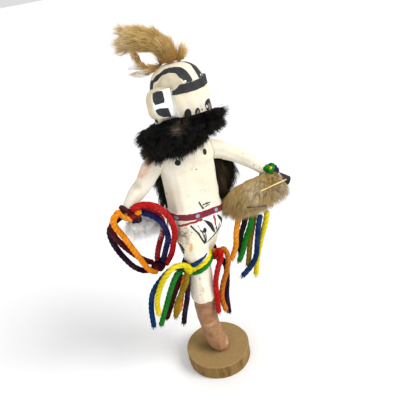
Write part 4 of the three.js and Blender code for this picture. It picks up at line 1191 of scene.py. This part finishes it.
def collarShape(points):  # stands up before the face, and is short over the left breast
    level = points[:, 2] - baseTop
    front = rise(-points[:, 1], 0, 15)
    left = rise(points[:, 0], 2, 13)
    upper = rise(level, 208, 218)
    corner = rise(points[:, 0], 12, 26)
    points[:, 2] += front * (6.5 * upper * (1 - 0.45 * corner) + (1.5 + 7 * left) * (1 - upper))
    points[:, 2] -= (1 - front) * (1 - upper) * 4.5
    return points


collarTones = {
    "tanPatch": lambda points: np.minimum(ball((-12.5, -26.5, 226), 3.4)(points),
                                          ball((-8, -28, 229), 2.6)(points)),
    "brownSide": lambda points: np.minimum(ball((31, -14, 216), 8)(points), ball((-24, 2, 206), 7)(points)),
}
makeFur("black_collar_fur", "fur_collar", collarFur, collarComb, collarTones, collarShape)

backFur = {"seed": 5, "voxel": 1.4, "rounds": 10, "sink": 2.2, "count": 8500, "segments": 2,
           "length": (9, 22), "width": 0.4, "lift": 0.17, "stray": 0.16, "lock": 9, "locks": 190,
           "gather": 0.9, "gloss": 0.2, "sheen": 0, "blur": 4,
           "colours": ((0.002, 0.002, 0.002), (0.004, 0.004, 0.004), (0.022, 0.016, 0.011),
                       (0.06, 0.04, 0.022)),
           "tones": {"brownStreak": (0.13, 0.075, 0.025)}}


def downComb(roots, lift):
    sway = 0.12 * wobble(roots, 18, 31)[:, None] * np.array([1, 0.3, 0])
    return np.array([0, 0, -1.0]) + lift * 0.15 + sway


makeFur("black_back_fur", "back_fur", backFur, downComb, {
    "brownStreak": lambda points: np.abs(points[:, 0] - 31 - 0.1 * (points[:, 2] - baseTop - 165)) - 3})

plumeSpine = [(5.6, -1.2, 256), (6.2, 0.4, 264.5), (4.6, 0.8, 272), (-0.8, 3.6, 278.6), (-8.2, 7.6, 281.8),
              (-15.4, 11.6, 282.8), (-22, 15, 282.6)]
plumeWisps = [[(10, -3, 260), (13, -4.2, 265.5), (14.4, -5, 272)],
              [(2, 1, 260.5), (-4.6, 3.6, 261), (-10, 6.4, 263.2), (-14, 8.6, 268), (-16, 10, 274)],
              [(-13, 10, 287), (-18, 12.6, 289), (-23.4, 15.6, 293)],
              [(-12, 10, 280), (-18, 13.4, 279), (-27, 18.2, 279)]]
plumeFur = {"seed": 7, "voxel": 0.9, "rounds": 8, "sink": 1.5, "count": 7000, "segments": 4,
            "length": (4, 11), "curlHairs": 11, "curlSpread": 0.55, "width": 0.26, "lift": 0.26,
            "stray": 0.3, "lock": 6, "locks": 300, "gather": 0.5, "gloss": 0.35, "sheen": 0.1, "blur": 4,
            "colours": ((0.28, 0.14, 0.026), (0.55, 0.32, 0.068), (0.93, 0.68, 0.26), (0.98, 0.83, 0.5)),
            "tones": {"goldenRoot": (0.56, 0.29, 0.05), "paleTip": (0.9, 0.72, 0.42)}}


def plumeComb(roots, lift):
    best, ways = nearOn(roots, plumeSpine)
    best = best - 4
    for line in plumeWisps:
        gap, way = nearOn(roots, line)
        closer = gap < best
        best = np.where(closer, gap, best)
        ways[closer] = way[closer]
    return ways


def plumeShape(points):  # bushier at the bend, and its end drawn in
    beyond = np.minimum(points[:, 0] + 11, 0)[:, None]
    points += beyond * np.array([-0.36, 0.18, 0.12])
    middle = rowPoint((-7, 7, 281))
    away = points - middle
    near = np.exp(-(np.linalg.norm(away, axis=1) / 10) ** 2)[:, None]
    return points + unit(away) * near * np.array([1, 1, 1.8])


plumeCurls = [[(-15, 11.6, 287), (-18.6, 13.6, 292), (-19.6, 14.2, 295)],
              [(-16, 12, 284), (-22, 15.6, 288.4), (-25, 17.3, 287.6)],
              [(-16, 12, 280), (-22.5, 15.8, 281.8), (-27.8, 18.9, 280.4)],
              [(-15, 11.6, 278), (-21.6, 15.2, 274), (-25.2, 17.3, 277)],
              [(-13, 10.6, 278), (-15.6, 12, 271), (-12.7, 10.2, 263.6)],
              [(-12, 10, 277), (-14, 11, 270), (-12, 9.8, 263.4)],
              [(-5, 5.8, 260.6), (-12, 9.8, 264.4), (-17.8, 13, 266.2)],
              [(-5, 5.8, 260.4), (-15, 11.6, 263.4), (-20.6, 14.8, 264)],
              [(-5, 5.8, 260), (-13.4, 10.6, 259.8), (-21.6, 15.4, 262.2)],
              [(-5, 5.8, 259.6), (-15.4, 11.8, 261.2), (-19.2, 13.8, 259)],
              [(-4, 5.4, 260), (-12.6, 10.2, 257.8), (-20.4, 14.6, 260.4)],
              [(11, -3.6, 263), (15.6, -6, 268.6), (13.7, -5, 271.6)],
              [(10, -3, 264), (13.4, -4.6, 271), (12.4, -4.2, 275)],
              [(-14, 11, 286), (-19.6, 14.2, 290), (-24, 16.6, 292.4)],
              [(-14, 11, 278), (-21, 15, 277.6), (-27, 18.4, 275.6)]]


def plumeShort(points):
    return 1 - 0.5 * np.maximum(ball((-12, 8, 266), 9)(points) < 0, ball((14, -5, 270), 3)(points) < 0)


plumeTones = {"goldenRoot": ball((6, 0, 262), 9), "paleTip": ball((-20, 14, 284), 12)}
makeFur("tan_plume_fur", "crest_plume", plumeFur, plumeComb, plumeTones, plumeShape, plumeShort,
        plumeCurls)

handFur = {"seed": 9, "voxel": 1.2, "rounds": 10, "sink": 1.7, "count": 12600, "segments": 2,
           "length": (4.5, 10), "width": 0.28, "lift": 0.2, "stray": 0.16, "lock": 6, "locks": 380,
           "gather": 0.5, "gloss": 0.35, "sheen": 0.1, "blur": 6,
           "colours": ((0.24, 0.135, 0.032), (0.46, 0.29, 0.08), (0.74, 0.54, 0.225), (0.87, 0.74, 0.46)),
           "tones": {"golden": (0.4, 0.22, 0.04), "pale": (0.95, 0.82, 0.55), "grey": (0.62, 0.52, 0.34)}}


def handComb(roots, lift):
    wrist = rowPoint((62, -26, 166))
    away = unit(roots - wrist)
    sway = 0.25 * wobble(roots, 14, 41)[:, None] * np.array([0.4, -0.4, 0.2])
    return away * 0.8 + np.array([0.1, 0, -0.55]) + sway


def handShape(points):  # drawn in beside the fist
    beyond = np.maximum(points[:, 0] - 63, 0)[:, None]
    return points + beyond * np.array([-0.52, 0.2, 0])


def handShort(points):
    bare = [ball((77, -34, 152), 8)(points) < 0, nearOn(points, sticks["black_stick"]["ends"])[0] < 3.6]
    return 1 - 0.7 * np.maximum(*bare)


handTones = {"golden": ball((27, -14, 142), 12), "pale": ball((44, -30, 160), 7),
             "grey": ball((66, -38, 152), 10)}
makeFur("tan_hand_fur", "left_hand_fur", handFur, handComb, handTones, handShape, handShort)

fluffFur = {"seed": 12, "voxel": 1.1, "rounds": 12, "sink": 1.6, "count": 3400, "segments": 3,
            "length": (4, 12), "width": 0.2, "lift": 0.5, "stray": 0.6, "lock": 5, "locks": 70,
            "gather": 0.55, "gloss": 0.2, "sheen": 0.1, "blur": 4,
            "colours": ((0.93, 0.91, 0.88), (0.95, 0.94, 0.92), (0.98, 0.98, 0.98), (0.99, 0.99, 0.99)),
            "tones": {"brownTip": (0.42, 0.32, 0.22)}}


def fluffComb(roots, lift):
    sway = 0.5 * wobble(roots, 9, 51)[:, None] * np.array([0.5, 0.5, 0.4])
    return lift * 0.6 + np.array([0.3, 0, -0.35]) + sway


makeFur("white_down", "right_hand_fluff", fluffFur, fluffComb,
        {"brownTip": ball((-31, 8, 151), 4)})
print("fur combed")


# Pale floor and soft studio light
studio = {"floor": 30.0, "sun": (0.5, -0.72, 0.9), "sunPower": 2.35, "sunAngle": 32,
          "fill": (-1.2, -0.6, 0.6), "fillPower": 3.6, "fillSize": 1.2, "world": 0.74}


def makeStudio():
    finish = Finish("floor_paper")
    paper = finish.done(finish.mix(finish.noise(3), (0.86, 0.86, 0.86), (0.88, 0.88, 0.88)), 0.9)
    mesh = bpy.data.meshes.new("floor")
    half = studio["floor"]
    mesh.from_pydata([(-half, -half, 0), (half, -half, 0), (half, half, 0), (-half, half, 0)], [],
                     [(0, 1, 2, 3)])
    mesh.materials.append(paper)
    floor = bpy.data.objects.new("floor", mesh)
    bpy.context.scene.collection.objects.link(floor)
    floor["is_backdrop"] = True
    sun = bpy.data.lights.new("sun", "SUN")
    sun.angle = math.radians(studio["sunAngle"])
    sun.energy = studio["sunPower"]
    fill = bpy.data.lights.new("fill", "AREA")
    fill.size = studio["fillSize"]
    fill.energy = studio["fillPower"]
    for light in (sun, fill):
        lamp = bpy.data.objects.new(light.name, light)
        bpy.context.scene.collection.objects.link(lamp)
        lamp.location = studio[light.name]
        lamp.rotation_euler = (Vector((0, 0, 0.15)) - lamp.location).to_track_quat("-Z", "Y").to_euler()
    world = bpy.data.worlds.new("studio")
    bpy.context.scene.world = world
    world.use_nodes = True
    world.node_tree.nodes["Background"].inputs["Color"].default_value = (1, 1, 1, 1)
    world.node_tree.nodes["Background"].inputs["Strength"].default_value = studio["world"]
    bpy.context.scene.view_settings.view_transform = "Standard"


makeStudio()

faces = sum(len(p.data.polygons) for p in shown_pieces() if p.type == "MESH")
print("faces shown:", faces)
